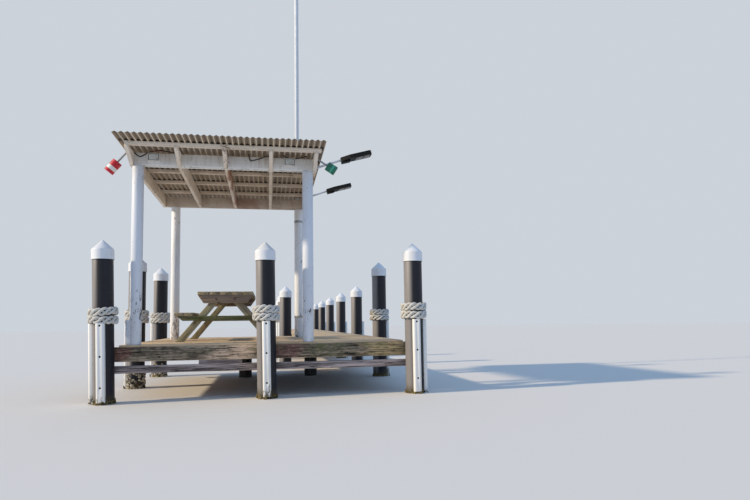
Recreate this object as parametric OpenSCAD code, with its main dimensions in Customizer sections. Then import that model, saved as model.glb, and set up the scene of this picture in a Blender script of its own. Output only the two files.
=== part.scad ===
/* [Piles] */
// Distance of each outer front pile from the middle one
head_half_width = 2020; // [1700:10:2400]
// Diameter of the sleeved piles
pile_d = 254; // [200:2:300]
// Height above the water at which the cap cones of the head piles come to a point
head_tip_h = 2084; // [1700:2:2500]
// Height above the water at which the cap cones of the walkway piles come to a point
walkway_tip_h = 1822; // [1500:2:2200]
// Lean of the left front pile towards the left, in degrees
left_lean = 1.5; // [0:0.1:2]
// Lean of the middle front pile towards the left, in degrees
centre_lean = 0.8; // [0:0.1:2]
// Lean of the right front pile towards the left, in degrees
right_lean = 0.2; // [0:0.1:2]
// Depth of the flat checked into each pile where a beam is bolted
pile_check = 8; // [4:1:15]
// Diameter of the short piles that stand under the deck
bearing_pile_d = 230; // [160:5:300]
// Overhang of a cap past its pile, all round
cap_wall = 10; // [5:1:20]
// Height of the straight skirt of a cap
cap_skirt_h = 130; // [60:2:180]
// Height of the cone of a cap above its skirt
cap_cone_h = 130; // [80:2:220]
// Rounding of the tip of a cap
cap_tip_r = 14; // [4:1:30]

/* [Rubbing strips and ropes] */
// Width of a rubbing strip
strip_w = 106; // [70:2:140]
// Thickness of a rubbing strip in its middle
strip_t = 44; // [30:1:60]
// Rounding of the front edges of a rubbing strip
strip_corner_r = 26; // [10:1:30]
// Depth of the hollow in the back of a rubbing strip
strip_cope = 12; // [8:1:20]
// Diameter of the bolt pockets in a rubbing strip
strip_bolt_d = 26; // [16:1:40]
// Depth of the bolt pockets
strip_bolt_depth = 16; // [6:1:20]
// Height of the lowest bolt in a rubbing strip
strip_bolt_z = 212; // [150:2:260]
// Distance from bolt to bolt
strip_bolt_step = 385; // [300:5:385]
// Height of the lower ends of the rubbing strips
strip_z0 = 30; // [10:5:120]
// Height of the upper ends of the rubbing strips on the head
strip_z1 = 1015; // [800:5:1200]
// Height of the upper ends of the strips along the walkway
walkway_strip_z1 = 1000; // [750:5:1150]
// Thickness of the lashing rope
rope_d = 50; // [30:1:70]
// Turns of rope in a lashing
rope_turns = 4; // [2:1:6]
// Rise from one turn of rope to the next
rope_rise = 49; // [40:1:60]

/* [Deck] */
// Height of the deck surface above the water
deck_h = 725; // [600:5:900]
// Thickness of the deck boards
board_t = 25; // [20:1:45]
// Depth of the front beam, side beams and joists
beam_h = 190; // [140:5:240]
// Thickness of the front beam, side beams and rear beam
beam_t = 70; // [50:5:100]
// Length of the head from the face of the front beam to the rear
head_length = 3780; // [3200:10:4400]
// Distance by which the deck edges stand back from the beam faces
deck_inset = 12; // [8:1:30]
// Length of the front beam and front rail past the middle of the outer piles
front_beam_over = 60; // [50:5:120]
// Gap between the front rail and the front beam above it
rail_gap = 53; // [30:1:90]
// Depth of the front rail
rail_h = 97; // [70:1:120]
// Thickness of the front rail
rail_t = 50; // [35:5:75]
// Middle of the packing block between rail and front beam
packer_x = -610; // [-900:10:-450]
// Length of the packing block
packer_l = 560; // [200:10:700]
// Thickness of the joists
joist_t = 50; // [35:5:70]
// Number of joists between the side beams
joist_count = 7; // [4:1:9]
// Depth of the cross bearers under the beams
bearer_h = 100; // [70:5:150]
// Width of the cross bearers
bearer_w = 150; // [100:5:200]
// Distance of the head bearer behind the front beam face
head_bearer_y = 3030; // [2600:10:3300]
// Middle of the left short pile under the head
bearing_left_x = -400; // [-800:10:-200]
// Middle of the right short pile under the head
bearing_right_x = 800; // [400:10:1200]

/* [Walkway] */
// Face of the walkway's left beam, measured from the middle pile
walkway_left_x = 520; // [350:10:800]
// Distance of the first walkway pile row behind the middle pile
first_row_y = 5310; // [5000:10:5600]
// Distance between the pile rows
bay = 2890; // [2400:10:3200]
// Number of pile rows
rows = 5; // [2:1:6]
// Length of the walkway past its last pile row
walkway_end = 200; // [150:10:400]

/* [Side piles] */
// Distance of the middle left pile behind the front
side_left_y = 1770; // [1400:10:2200]
// Distance of the rear left pile behind the front
rear_left_y = 3780; // [3400:10:3840]
// Distance of the right pile behind the front
side_right_y = 2550; // [2000:10:3000]

/* [Shelter] */
// Diameter of the shelter posts
post_d = 150; // [120:5:180]
// Distance of the front posts behind the middle pile
front_post_y = 218; // [212:1:300]
// Distance between the front and rear posts
post_span = 2474; // [2000:2:2900]
// Distance of the left outer rafter inside the middle of the left piles
shelter_in = 240; // [215:5:300]
// Distance of the front left post from the left outer rafter
front_left_post_in = 75; // [75:5:250]
// Thickness of the board fixed beside the foot of the front left post
foot_board_t = 42; // [20:1:60]
// Width of that board
foot_board_w = 100; // [60:2:140]
// Height of that board
foot_board_h = 325; // [150:5:500]
// Distance of the rear left post from the left outer rafter
rear_left_post_in = 190; // [75:5:300]
// Distance of the two right posts from the right outer rafter
right_post_in = 100; // [80:5:250]
// Height of the underside of the front roof beam above the water
roof_beam_z = 3110; // [2800:5:3400]
// Fall of the roof towards the rear, in degrees
roof_fall = 1.3; // [0:0.1:4]
// Depth of the roof beams and rafters
rafter_h = 185; // [140:5:240]
// Thickness of the roof beams and rafters
rafter_t = 50; // [35:1:75]
// Distance between the rafters
rafter_pitch = 610; // [560:5:640]
// Overhang of the rafter tails past the beams
tail = 345; // [200:10:450]
// Depth of a rafter tail at its tip
tail_tip_h = 35; // [20:5:80]
// Play at each side of a halved joint
lap_gap = 0.5; // [0.2:0.1:1]
// Height of the purlins
purlin_h = 48; // [35:1:70]
// Width of the purlins
purlin_w = 70; // [45:5:90]
// Number of purlins
purlin_count = 6; // [4:1:8]
// Length of the purlins past the right outer rafter
purlin_over = 45; // [0:5:100]

/* [Roof sheet] */
// Width of one corrugation
wave_l = 76; // [60:1:90]
// Height of the corrugations
wave_h = 17; // [10:1:25]
// Number of corrugations
wave_count = 35; // [30:1:38]
// Thickness of the roof sheet
sheet_t = 1.6; // [1:0.1:3]
// Overhang of the sheet past the front purlin
sheet_front = 290; // [100:10:400]
// Overhang of the sheet past the rear purlin
sheet_rear = 150; // [50:10:300]
// Overhang of the sheet past the left outer rafter's middle
sheet_left = 110; // [60:5:170]

/* [Junction boxes] */
// Width of a junction box
box_w = 150; // [80:2:200]
// Height of a junction box
box_h = 105; // [60:1:150]
// Depth of a junction box
box_t = 45; // [30:1:80]
// Distance of the boxes below the top of the front roof beam
box_drop = 12; // [12:1:30]
// Middle of the left junction box, from the left outer rafter
left_box_in = 280; // [280:5:400]
// Middle of the right junction box, from the right outer rafter
right_box_in = 350; // [120:5:450]

/* [Cables] */
// Width of the cables on the front roof beam
cable_w = 12; // [6:1:14]
// Thickness of the cables
cable_t = 9; // [5:1:12]

/* [Flagpole and lamps] */
// Diameter of the flagpole
flagpole_d = 77; // [60:1:100]
// Length of the flagpole above the deck
flagpole_h = 7500; // [6000:50:9000]
// Distance of the flagpole to the left of the rear right post's middle
flagpole_left = 20; // [0:1:40]
// Play round the flagpole where it passes through the roof sheet
flagpole_play = 8; // [2:1:20]
// Height of the bands that hold the flagpole
band_h = 40; // [20:1:60]
// Thickness of the bands
band_t = 5; // [3:0.5:8]
// Height of the lower band above the deck
lower_band_h = 350; // [100:10:900]
// Distance of the upper band below the front roof beam
upper_band_drop = 300; // [250:10:700]
// Height of the front lamp arm above the underside of the rafter
front_lamp_h = 66; // [55:1:130]
// Height of the rear lamp arm above the underside of the rafter
rear_lamp_h = 130; // [55:1:130]
// Distance between the lamps
lamp_span = 2040; // [1800:10:2100]
// Height of the foot plate of a lamp arm
lamp_plate_h = 90; // [60:2:110]
// Width of the foot plate of a lamp arm
lamp_plate_w = 80; // [50:2:100]
// Thickness of the foot plate of a lamp arm
lamp_plate_t = 8; // [4:1:15]
// Diameter of the lamp arms
lamp_arm_d = 32; // [25:1:45]
// Length of a lamp arm
lamp_arm_l = 375; // [200:10:450]
// Rise of a lamp arm, in degrees
lamp_arm_rise = 20; // [5:1:30]
// Length of a lamp head
lamp_l = 450; // [300:10:600]
// Width of a lamp head
lamp_w = 190; // [140:5:260]
// Width of the neck of a lamp head at its arm
lamp_neck_w = 90; // [50:2:120]
// Distance of the shoulders of a lamp head from its neck
lamp_shoulder_x = 140; // [80:5:180]
// Rounding of the corners of a lamp head
lamp_corner_r = 36; // [10:1:45]
// Thickness of a lamp head
lamp_t = 56; // [35:1:80]
// Length of the gear box under the neck of a lamp head
lamp_gear_l = 125; // [80:5:135]
// Depth of the gear box
lamp_gear_h = 22; // [10:1:40]
// Rise of a lamp head, in degrees
lamp_rise = 15; // [0:1:25]

/* [Marker lamps] */
// Diameter of a marker lamp
marker_d = 128; // [60:2:160]
// Length of the red lamp
red_marker_l = 174; // [100:2:200]
// Length of the green lamp
green_marker_l = 140; // [100:2:200]
// Length of the stem between the rafter and the red lamp
red_stem_l = 178; // [130:2:220]
// Length of the stem between the rafter and the green lamp
green_stem_l = 160; // [130:2:220]
// Diameter of the stem
marker_stem_d = 24; // [12:1:40]
// Diameter of the foot plate
marker_foot_d = 60; // [40:2:70]
// Thickness of the foot plate
marker_foot_t = 8; // [4:1:15]
// Downward slope of the red lamp and its stem, in degrees
red_marker_tilt = 51; // [20:1:60]
// Downward slope of the green lamp and its stem, in degrees
green_marker_tilt = 33; // [20:1:60]
// Distance of the lamps in front of the front roof beam
marker_forward = 173; // [100:1:200]
// Height of the foot plates above the underside of the front roof beam
marker_foot_h = 132; // [125:1:145]

/* [Table] */
// Middle of the table, from the left outer rafter
table_in = 1170; // [1100:10:1250]
// Near end of the table behind the middle pile
table_y = 950; // [800:10:1300]
// Length of the table
table_l = 1780; // [1400:10:1900]
// Width of the table top
table_w = 800; // [700:10:900]
// Height of the table top above the deck
table_h = 738; // [650:5:800]
// Height of the benches above the deck
bench_h = 430; // [380:5:480]
// Width of a bench
bench_w = 270; // [200:10:320]
// Distance of the bench middles from the table's middle
bench_x = 590; // [560:10:640]
// Thickness of the table boards and bench boards
table_board_t = 50; // [30:1:55]
// Depth of the rails under the table top
top_rail_h = 122; // [80:2:140]
// Depth of the rails under the benches
bench_rail_h = 70; // [60:2:120]
// How far the ends of the rails slope in
rail_slope_in = 85; // [20:5:110]
// Distance of the ends of a bench rail from the outer edges of the benches
bench_rail_in = 30; // [0:5:60]
// Thickness of the rails and legs of the table
table_frame_t = 45; // [35:1:60]
// Distance of the end frames from the ends of the table
table_frame_in = 60; // [60:10:400]
// Distance of the outer edge of a foot from the table's middle
foot_x = 720; // [660:10:760]
// Distance of the outer edge of a leg from the middle at its top
leg_top_x = 145; // [140:5:200]
// Length of a leg's level cut at its foot
foot_l = 125; // [100:5:135]

/* [Hidden] */

$fn = 64;
seat_gap = 0.3;
cut = 1;
reach = 20000;

pile_r = pile_d / 2;
front_beam_half = head_half_width + front_beam_over;

// Faces of the beams that the piles are bolted to
front_face_y = pile_r - pile_check;
left_face_x = -(head_half_width - pile_r + pile_check);
right_face_x = head_half_width - pile_r + pile_check;
walkway_pile_x = walkway_left_x - pile_r + pile_check;

beam_z1 = deck_h - board_t;
beam_z0 = beam_z1 - beam_h;
head_rear_y = front_face_y + head_length;
walkway_end_y = first_row_y + bay * (rows - 1) + walkway_end;
row_y = [for (i = [0:rows - 1]) first_row_y + bay * i];

rail_z = beam_z0 - rail_gap - rail_h;

// Each head pile: place, lean, directions of its rubbing strips
front_places = [
    [[-head_half_width, 0], left_lean, [180, 270]],
    [[0, 0], centre_lean, [270]],
    [[head_half_width, 0], right_lean, [270, 0]]
];
side_places = [
    [[-head_half_width, side_left_y], 0, [180]],
    [[-head_half_width, rear_left_y], 0, [180]],
    [[head_half_width, side_right_y], 0, [0]]
];
walkway_places = [for (y = row_y) each [[[head_half_width, y], 0, [0]], [[walkway_pile_x, y], 0, [180]]]];

lashing_z = strip_z1 + rope_d / 2 + seat_gap;

rear_post_y = front_post_y + post_span;
// Faces of the roof beams, flush with the fronts and backs of the posts
roof_y0 = front_post_y - rafter_t / 2;
roof_span = post_span + rafter_t;
rafter_xs = [for (i = [0:4]) shelter_in - head_half_width + rafter_pitch * i];
roof_x0 = rafter_xs[0] - rafter_t / 2;
roof_x1 = rafter_xs[4] + rafter_t / 2;
front_left_post_x = rafter_xs[0] + front_left_post_in;
rear_left_post_x = rafter_xs[0] + rear_left_post_in;
right_post_x = rafter_xs[4] - right_post_in;
table_x = rafter_xs[0] + table_in;
purlin_step = (roof_span + 2 * tail - purlin_w) / (purlin_count - 1);

// Cables on the front roof beam: share of the way between two rafters, and height above the beam
left_route = [
    [0.01, -8], [0.04, -22], [0.09, -46], [0.14, -57], [0.2, -42], [0.26, -20], [0.32, 4],
    [0.45, 26], [0.6, 36], [0.78, 24], [0.92, 16], [0.99, 15]
];
middle_route = [
    [0.505, 36], [0.51, 10], [0.52, -22], [0.545, -50], [0.58, -57], [0.68, -41], [0.8, -18], [0.9, 8], [0.99, 22]
];
right_route = [[0.25, 36], [0.3, 18], [0.37, 4], [0.44, -3], [0.55, -3], [0.65, 6], [0.75, 22], [0.84, 36]];

flagpole_xy = [right_post_x - flagpole_left, rear_post_y + (post_d + flagpole_d) / 2 + seat_gap];

// Puts children at the foot of a pile, leaning with it
module at_pile(p) {
    translate([p[0][0], p[0][1], 0])
        rotate([0, -p[1], 0])
            children();
}

// Puts children into the sloping plane of the roof
module on_roof() {
    translate([0, roof_y0, roof_beam_z])
        rotate([-roof_fall, 0, 0])
            children();
}

// A pile up to the underside of its cap, cut level at the water and flat against the children
module pile(p, tip_h) {
    difference() {
        at_pile(p)
            translate([0, 0, -pile_d])
                cylinder(d = pile_d, h = tip_h - cap_cone_h + pile_d);
        translate([p[0][0] - pile_d, p[0][1] - pile_d, -3 * pile_d])
            cube([2 * pile_d, 2 * pile_d, 3 * pile_d]);
        children();
    }
}

// A cap: a cone with a rounded tip over a skirt that fits round the pile
module cap(tip_h) {
    r = pile_r + cap_wall;
    slope = atan(cap_cone_h / r);
    centre_z = cap_cone_h - cap_tip_r / cos(slope);
    translate([0, 0, tip_h - cap_cone_h])
        rotate_extrude($fn = 72)
            polygon(concat(
                [[0, 0], [pile_r + seat_gap, 0], [pile_r + seat_gap, -cap_skirt_h], [r, -cap_skirt_h], [r, 0]],
                [for (a = [90 - slope:5:88]) [cap_tip_r * cos(a), centre_z + cap_tip_r * sin(a)]],
                [[0, centre_z + cap_tip_r]]
            ));
}

// Rubbing strips on one pile, with rounded front edges and pockets for their bolts
module strips(p, z1) {
    for (direction = p[2])
        at_pile(p)
            rotate([0, 0, direction])
                difference() {
                    translate([0, 0, strip_z0])
                        linear_extrude(z1 - strip_z0)
                            strip_outline();
                    for (z = [strip_bolt_z:strip_bolt_step:z1 - strip_bolt_d])
                        translate([pile_r + strip_t - strip_bolt_depth, 0, z])
                            rotate([0, 90, 0])
                                cylinder(d = strip_bolt_d, h = 2 * strip_bolt_depth, $fn = 32);
                }
}

// Cross-section of a rubbing strip, hollow at its back to fit the pile
module strip_outline() {
    front = pile_r + strip_t;
    difference() {
        union() {
            translate([pile_r - strip_cope, -strip_w / 2])
                square([strip_cope + strip_t - strip_corner_r, strip_w]);
            translate([pile_r, strip_corner_r - strip_w / 2])
                square([strip_t, strip_w - 2 * strip_corner_r]);
            for (side = [-1, 1])
                translate([front - strip_corner_r, side * (strip_w / 2 - strip_corner_r)])
                    circle(r = strip_corner_r);
        }
        circle(r = pile_r + seat_gap, $fn = 96);
    }
}

// Turns of rope round a pile, just above its rubbing strips
module lashing(p) {
    at_pile(p)
        rotate_extrude($fn = 72)
            for (i = [0:rope_turns - 1])
                translate([pile_r + seat_gap + rope_d / 2, lashing_z + i * rope_rise])
                    circle(d = rope_d, $fn = 24);
}

module front_left_pile() {
    color("#26262a")
        pile(front_places[0], head_tip_h)
            beam_faces();
}

module front_centre_pile() {
    color("#26262a")
        pile(front_places[1], head_tip_h)
            beam_faces();
}

module front_right_pile() {
    color("#26262a")
        pile(front_places[2], head_tip_h)
            beam_faces();
}

// The space behind the front beam and front rail, cut out of the piles
module beam_faces() {
    for (z = [[beam_z0, beam_z1], [rail_z, rail_z + rail_h]])
        translate([-reach, front_face_y, z[0]])
            cube([2 * reach, head_length, z[1] - z[0]]);
}

module head_side_piles() {
    color("#26262a")
        for (p = side_places)
            pile(p, head_tip_h)
                translate([left_face_x, 0, beam_z0 - bearer_h])
                    cube([right_face_x - left_face_x, head_rear_y, beam_h + bearer_h]);
}

module walkway_piles() {
    color("#26262a")
        for (p = walkway_places)
            pile(p, walkway_tip_h)
                walkway_frame_space();
}

// The space between the outer faces of the walkway's beams and bearers
module walkway_frame_space() {
    translate([walkway_left_x, head_rear_y, beam_z0 - bearer_h])
        cube([right_face_x - walkway_left_x, walkway_end_y, beam_h + bearer_h]);
}

module bearing_piles() {
    color("#3a3530")
        for (x = [bearing_left_x, bearing_right_x])
            translate([x, front_face_y + head_bearer_y, 0])
                cylinder(d = bearing_pile_d, h = beam_z0 - bearer_h);
}

module head_pile_caps() {
    color("white")
        for (p = concat(front_places, side_places))
            at_pile(p)
                cap(head_tip_h);
}

module walkway_pile_caps() {
    color("white")
        for (p = walkway_places)
            at_pile(p)
                cap(walkway_tip_h);
}

module head_rubbing_strips() {
    color("ivory")
        for (p = concat(front_places, side_places))
            strips(p, strip_z1);
}

module walkway_rubbing_strips() {
    color("ivory")
        for (p = walkway_places)
            strips(p, walkway_strip_z1);
}

module front_rope_lashings() {
    color("#cfc6ae")
        for (p = front_places)
            lashing(p);
}

module side_rope_lashings() {
    color("#cfc6ae")
        for (p = side_places)
            lashing(p);
}

module front_beam() {
    color("#7a6f5a")
        translate([-front_beam_half, front_face_y, beam_z0])
            cube([2 * front_beam_half, beam_t, beam_h]);
}

module front_rail() {
    color("#75706a")
        translate([-front_beam_half, front_face_y, rail_z])
            cube([2 * front_beam_half, rail_t, rail_h]);
}

module rail_packer() {
    color("#6b6257")
        translate([packer_x - packer_l / 2, front_face_y, rail_z + rail_h])
            cube([packer_l, rail_t, beam_z0 - rail_z - rail_h]);
}

module head_side_beams() {
    color("#7a6f5a")
        for (x = [left_face_x, right_face_x - beam_t])
            translate([x, front_face_y + beam_t, beam_z0])
                cube([beam_t, head_length - 2 * beam_t, beam_h]);
}

module head_rear_beam() {
    color("#7a6f5a")
        translate([left_face_x, head_rear_y - beam_t, beam_z0])
            cube([right_face_x - left_face_x, beam_t, beam_h]);
}

module head_joists() {
    first = left_face_x + beam_t;
    last = right_face_x - beam_t - joist_t;
    color("#6b5c48")
        for (i = [1:joist_count])
            translate([first + (last - first) * i / (joist_count + 1), front_face_y + beam_t, beam_z0])
                cube([joist_t, head_length - 2 * beam_t, beam_h]);
}

module head_bearer() {
    color("#5f5343")
        translate([left_face_x, front_face_y + head_bearer_y - bearer_w / 2, beam_z0 - bearer_h])
            cube([right_face_x - left_face_x, bearer_w, bearer_h]);
}

module head_deck() {
    color("#b89f7d")
        translate([left_face_x + deck_inset, front_face_y + deck_inset, beam_z1])
            cube([
                right_face_x - left_face_x - 2 * deck_inset,
                head_length - deck_inset,
                board_t
            ]);
}

module walkway_bearers() {
    color("#5f5343")
        for (y = row_y)
            translate([walkway_left_x, y - bearer_w / 2, beam_z0 - bearer_h])
                cube([right_face_x - walkway_left_x, bearer_w, bearer_h]);
}

module walkway_beams() {
    middle = (walkway_left_x + right_face_x - beam_t) / 2;
    color("#7a6f5a")
        for (x = [walkway_left_x, middle, right_face_x - beam_t])
            translate([x, head_rear_y, beam_z0])
                cube([beam_t, walkway_end_y - head_rear_y, beam_h]);
}

module walkway_deck() {
    color("#b89f7d")
        translate([walkway_left_x + deck_inset, head_rear_y, beam_z1])
            cube([
                right_face_x - walkway_left_x - 2 * deck_inset,
                walkway_end_y - head_rear_y,
                board_t
            ]);
}

// A round shelter post, cut at its top to the underside of the roof beam
module post(x, y) {
    difference() {
        translate([x, y, deck_h])
            cylinder(d = post_d, h = roof_beam_z - deck_h + rafter_h);
        on_roof()
            translate([-reach / 2, -reach / 2, 0])
                cube([reach, reach, 4 * rafter_h]);
    }
}

module front_left_post() {
    color("white")
        union() {
            post(front_left_post_x, front_post_y);
            translate([front_left_post_x - post_d / 2 - foot_board_t, front_post_y - foot_board_w / 2, deck_h])
                cube([post_d / 2 + foot_board_t, foot_board_w, foot_board_h]);
        }
}

module front_right_post() {
    color("white")
        post(right_post_x, front_post_y);
}

module rear_left_post() {
    color("white")
        post(rear_left_post_x, rear_post_y);
}

module rear_right_post() {
    color("white")
        post(right_post_x, rear_post_y);
}

// A roof beam, notched from above to half its depth under every rafter
module roof_beam(y) {
    on_roof()
        difference() {
            translate([roof_x0, y, 0])
                cube([roof_x1 - roof_x0, rafter_t, rafter_h]);
            for (x = rafter_xs)
                translate([x - rafter_t / 2 - lap_gap, y - cut, rafter_h / 2])
                    cube([rafter_t + 2 * lap_gap, rafter_t + 2 * cut, rafter_h]);
        }
}

module front_roof_beam() {
    color("#d9d6cf")
        roof_beam(0);
}

module rear_roof_beam() {
    color("#d9d6cf")
        roof_beam(roof_span - rafter_t);
}

// A rafter with a tapered tail at each end, notched from below over the beams
module rafter(x) {
    on_roof()
        translate([x - rafter_t / 2, 0, 0])
            rotate([90, 0, 90])
                linear_extrude(rafter_t)
                    difference() {
                        polygon([
                            [-tail, rafter_h], [-tail, rafter_h - tail_tip_h], [0, 0],
                            [roof_span, 0], [roof_span + tail, rafter_h - tail_tip_h],
                            [roof_span + tail, rafter_h]
                        ]);
                        for (y = [0, roof_span - rafter_t])
                            translate([y - lap_gap, -rafter_h / 2])
                                square([rafter_t + 2 * lap_gap, rafter_h]);
                    }
}

module outer_rafters() {
    color("#d9d6cf")
        for (i = [0, 4])
            rafter(rafter_xs[i]);
}

module inner_rafters() {
    color("#cbbfa8")
        for (i = [1:3])
            rafter(rafter_xs[i]);
}

module roof_purlins() {
    color("#b49a76")
        on_roof()
            for (i = [0:purlin_count - 1])
                translate([roof_x0, i * purlin_step - tail, rafter_h])
                    cube([roof_x1 - roof_x0 + purlin_over, purlin_w, purlin_h]);
}

// Corrugations as a sine wave, with its lowest line on the purlins
module roof_sheet() {
    steps = 12;
    count = wave_count * steps;
    wave = [for (i = [0:count]) [
        rafter_xs[0] - sheet_left + i * wave_l / steps,
        wave_h / 2 * (1 - cos(360 * i / steps))
    ]];
    length = roof_span + 2 * tail + sheet_front + sheet_rear;
    color("#8d8273")
        difference() {
            on_roof()
                translate([0, length - tail - sheet_front, rafter_h + purlin_h])
                    rotate([90, 0, 0])
                        linear_extrude(length)
                            polygon(concat(
                                wave,
                                [for (i = [count:-1:0]) [wave[i][0], wave[i][1] + sheet_t]]
                            ));
            translate([flagpole_xy[0], flagpole_xy[1], roof_beam_z - rafter_h])
                cylinder(d = flagpole_d + 2 * flagpole_play, h = 4 * rafter_h);
        }
}

module junction_boxes() {
    color("#dfe0dd")
        on_roof()
            for (x = [rafter_xs[0] + left_box_in, rafter_xs[4] - right_box_in])
                translate([x - box_w / 2, -box_t, rafter_h - box_drop - box_h])
                    cube([box_w, box_t, box_h]);
}

// Outline of a cable of even width along its route
function cable_outline(route) = let (
    last = len(route) - 1,
    sides = [for (i = [0:last])
        let (way = route[min(i + 1, last)] - route[max(i - 1, 0)])
            cable_w / 2 * [-way[1], way[0]] / norm(way)]
) concat([for (i = [0:last]) route[i] + sides[i]], [for (i = [last:-1:0]) route[i] - sides[i]]);

module beam_cables() {
    clear = rafter_pitch - rafter_t;
    color("#2b2622")
        on_roof()
            for (bay_route = [[0, left_route], [2, middle_route], [3, right_route]])
                translate([rafter_xs[bay_route[0]] + rafter_t / 2, -seat_gap, rafter_h])
                    rotate([90, 0, 0])
                        linear_extrude(cable_t)
                            polygon(cable_outline([
                                for (p = bay_route[1]) [p[0] * clear, min(p[1], purlin_h - cable_w)]
                            ]));
}

module flagpole() {
    color("white")
        translate([flagpole_xy[0], flagpole_xy[1], deck_h]) {
            cylinder(d = flagpole_d, h = flagpole_h);
            translate([0, 0, flagpole_h])
                sphere(d = flagpole_d);
        }
}

// Bands that hold the flagpole to the rear right post
module flagpole_clamps() {
    color("silver")
        for (z = [deck_h + lower_band_h, roof_beam_z - upper_band_drop])
            translate([0, 0, z])
                linear_extrude(band_h)
                    difference() {
                        hull() {
                            translate([right_post_x, rear_post_y])
                                circle(d = post_d + 2 * band_t, $fn = 64);
                            translate(flagpole_xy)
                                circle(d = flagpole_d + 2 * band_t, $fn = 64);
                        }
                        hull() {
                            translate([right_post_x, rear_post_y])
                                circle(d = post_d + 2 * seat_gap, $fn = 64);
                            translate(flagpole_xy)
                                circle(d = flagpole_d + 2 * seat_gap, $fn = 64);
                        }
                    }
}

// Puts children at the feet of the lamp arms, on the outer face of the right rafter
module at_lamps() {
    on_roof()
        for (foot = [[rafter_t / 2, front_lamp_h], [rafter_t / 2 + lamp_span, rear_lamp_h]])
            translate([roof_x1, foot[0], foot[1]])
                children();
}

module lamp_arms() {
    color("white")
        at_lamps() {
            translate([0, -lamp_plate_w / 2, -lamp_plate_h / 2])
                cube([lamp_plate_t, lamp_plate_w, lamp_plate_h]);
            rotate([0, 90 - lamp_arm_rise, 0])
                translate([0, 0, lamp_plate_t])
                    cylinder(d = lamp_arm_d, h = lamp_arm_l - lamp_plate_t);
        }
}

module lamp_heads() {
    color("#1c1c1e")
        at_lamps()
            rotate([0, -lamp_arm_rise, 0])
                translate([lamp_arm_l + seat_gap + lamp_arm_d / 2 * tan(lamp_arm_rise - lamp_rise), 0, 0])
                    rotate([0, lamp_arm_rise - lamp_rise, 0])
                        translate([0, 0, -lamp_t / 2])
                            union() {
                                linear_extrude(lamp_t)
                                    lamp_outline();
                                translate([seat_gap, -lamp_neck_w / 2, -lamp_gear_h])
                                    cube([lamp_gear_l, lamp_neck_w, lamp_gear_h + cut]);
                            }
}

// Outline of a lamp head seen from above, with a narrow neck at the arm
module lamp_outline() {
    hull() {
        translate([0, -lamp_neck_w / 2])
            square([lamp_corner_r, lamp_neck_w]);
        for (x = [lamp_shoulder_x, lamp_l - lamp_corner_r])
            for (side = [-1, 1])
                translate([x, side * (lamp_w / 2 - lamp_corner_r)])
                    circle(r = lamp_corner_r, $fn = 32);
    }
}

// A marker lamp on a sloping stem, with a foot on the outer face of a rafter
module marker_lamp(tilt, stem_l, drum_l) {
    rotate([0, 90, 0])
        cylinder(d = marker_foot_d, h = marker_foot_t);
    rotate([0, 90 + tilt, 0])
        translate([0, 0, stem_l])
            cylinder(d = marker_d, h = drum_l);
    difference() {
        rotate([0, 90 + tilt, 0])
            translate([0, 0, -marker_stem_d])
                cylinder(d = marker_stem_d, h = stem_l + marker_stem_d + cut);
        translate([-marker_foot_d, -marker_foot_d / 2, -marker_foot_d / 2])
            cube(marker_foot_d);
    }
}

module red_marker_lamp() {
    color("#c01828")
        on_roof()
            translate([roof_x0, -marker_forward, marker_foot_h])
                mirror([1, 0, 0])
                    marker_lamp(red_marker_tilt, red_stem_l, red_marker_l);
}

module green_marker_lamp() {
    color("#0d7a55")
        on_roof()
            translate([roof_x1, -marker_forward, marker_foot_h])
                marker_lamp(green_marker_tilt, green_stem_l, green_marker_l);
}

// End frames of the table: two sloping legs, a top rail and a bench rail
module table_frames() {
    top_z = table_h - table_board_t;
    bench_rail_z = bench_h - table_board_t - bench_rail_h;
    color("#7d7350")
        for (side = [0, 1])
            translate([table_x, table_y + table_l / 2, deck_h])
                mirror([0, side, 0])
                    translate([0, table_frame_in - table_l / 2, 0])
                        rotate([90, 0, 0])
                            mirror([0, 0, 1])
                                table_frame(top_z, bench_rail_z);
}

// One end frame, flat in the plane of its legs, with the rails on its outside
module table_frame(top_z, bench_rail_z) {
    for (side = [0, 1])
        mirror([side, 0, 0])
            linear_extrude(table_frame_t)
                polygon([
                    [foot_x - foot_l, 0], [foot_x, 0],
                    [leg_top_x, top_z], [leg_top_x - foot_l, top_z]
                ]);
    translate([0, top_z - top_rail_h, -table_frame_t])
        table_rail(table_w / 2, top_rail_h);
    translate([0, bench_rail_z, -table_frame_t])
        table_rail(bench_x + bench_w / 2 - bench_rail_in, bench_rail_h);
}

// A rail whose ends slope in towards its underside
module table_rail(half_l, rail_h) {
    linear_extrude(table_frame_t)
        polygon([
            [-half_l, rail_h], [rail_slope_in - half_l, 0],
            [half_l - rail_slope_in, 0], [half_l, rail_h]
        ]);
}

module table_top() {
    color("#8a8058")
        translate([table_x - table_w / 2, table_y, deck_h + table_h - table_board_t])
            cube([table_w, table_l, table_board_t]);
}

module table_benches() {
    color("#8a8058")
        for (side = [-1, 1])
            translate([table_x + side * bench_x - bench_w / 2, table_y, deck_h + bench_h - table_board_t])
                cube([bench_w, table_l, table_board_t]);
}

front_left_pile();
front_centre_pile();
front_right_pile();
head_side_piles();
walkway_piles();
bearing_piles();
head_pile_caps();
walkway_pile_caps();
head_rubbing_strips();
walkway_rubbing_strips();
front_rope_lashings();
side_rope_lashings();
front_beam();
front_rail();
rail_packer();
head_side_beams();
head_rear_beam();
head_joists();
head_bearer();
head_deck();
walkway_bearers();
walkway_beams();
walkway_deck();
front_left_post();
front_right_post();
rear_left_post();
rear_right_post();
front_roof_beam();
rear_roof_beam();
outer_rafters();
inner_rafters();
roof_purlins();
roof_sheet();
junction_boxes();
beam_cables();
flagpole();
flagpole_clamps();
lamp_arms();
lamp_heads();
red_marker_lamp();
green_marker_lamp();
table_frames();
table_top();
table_benches();
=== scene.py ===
import math
import random

import bmesh
import bpy
from mathutils import Matrix, Vector, noise


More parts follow.
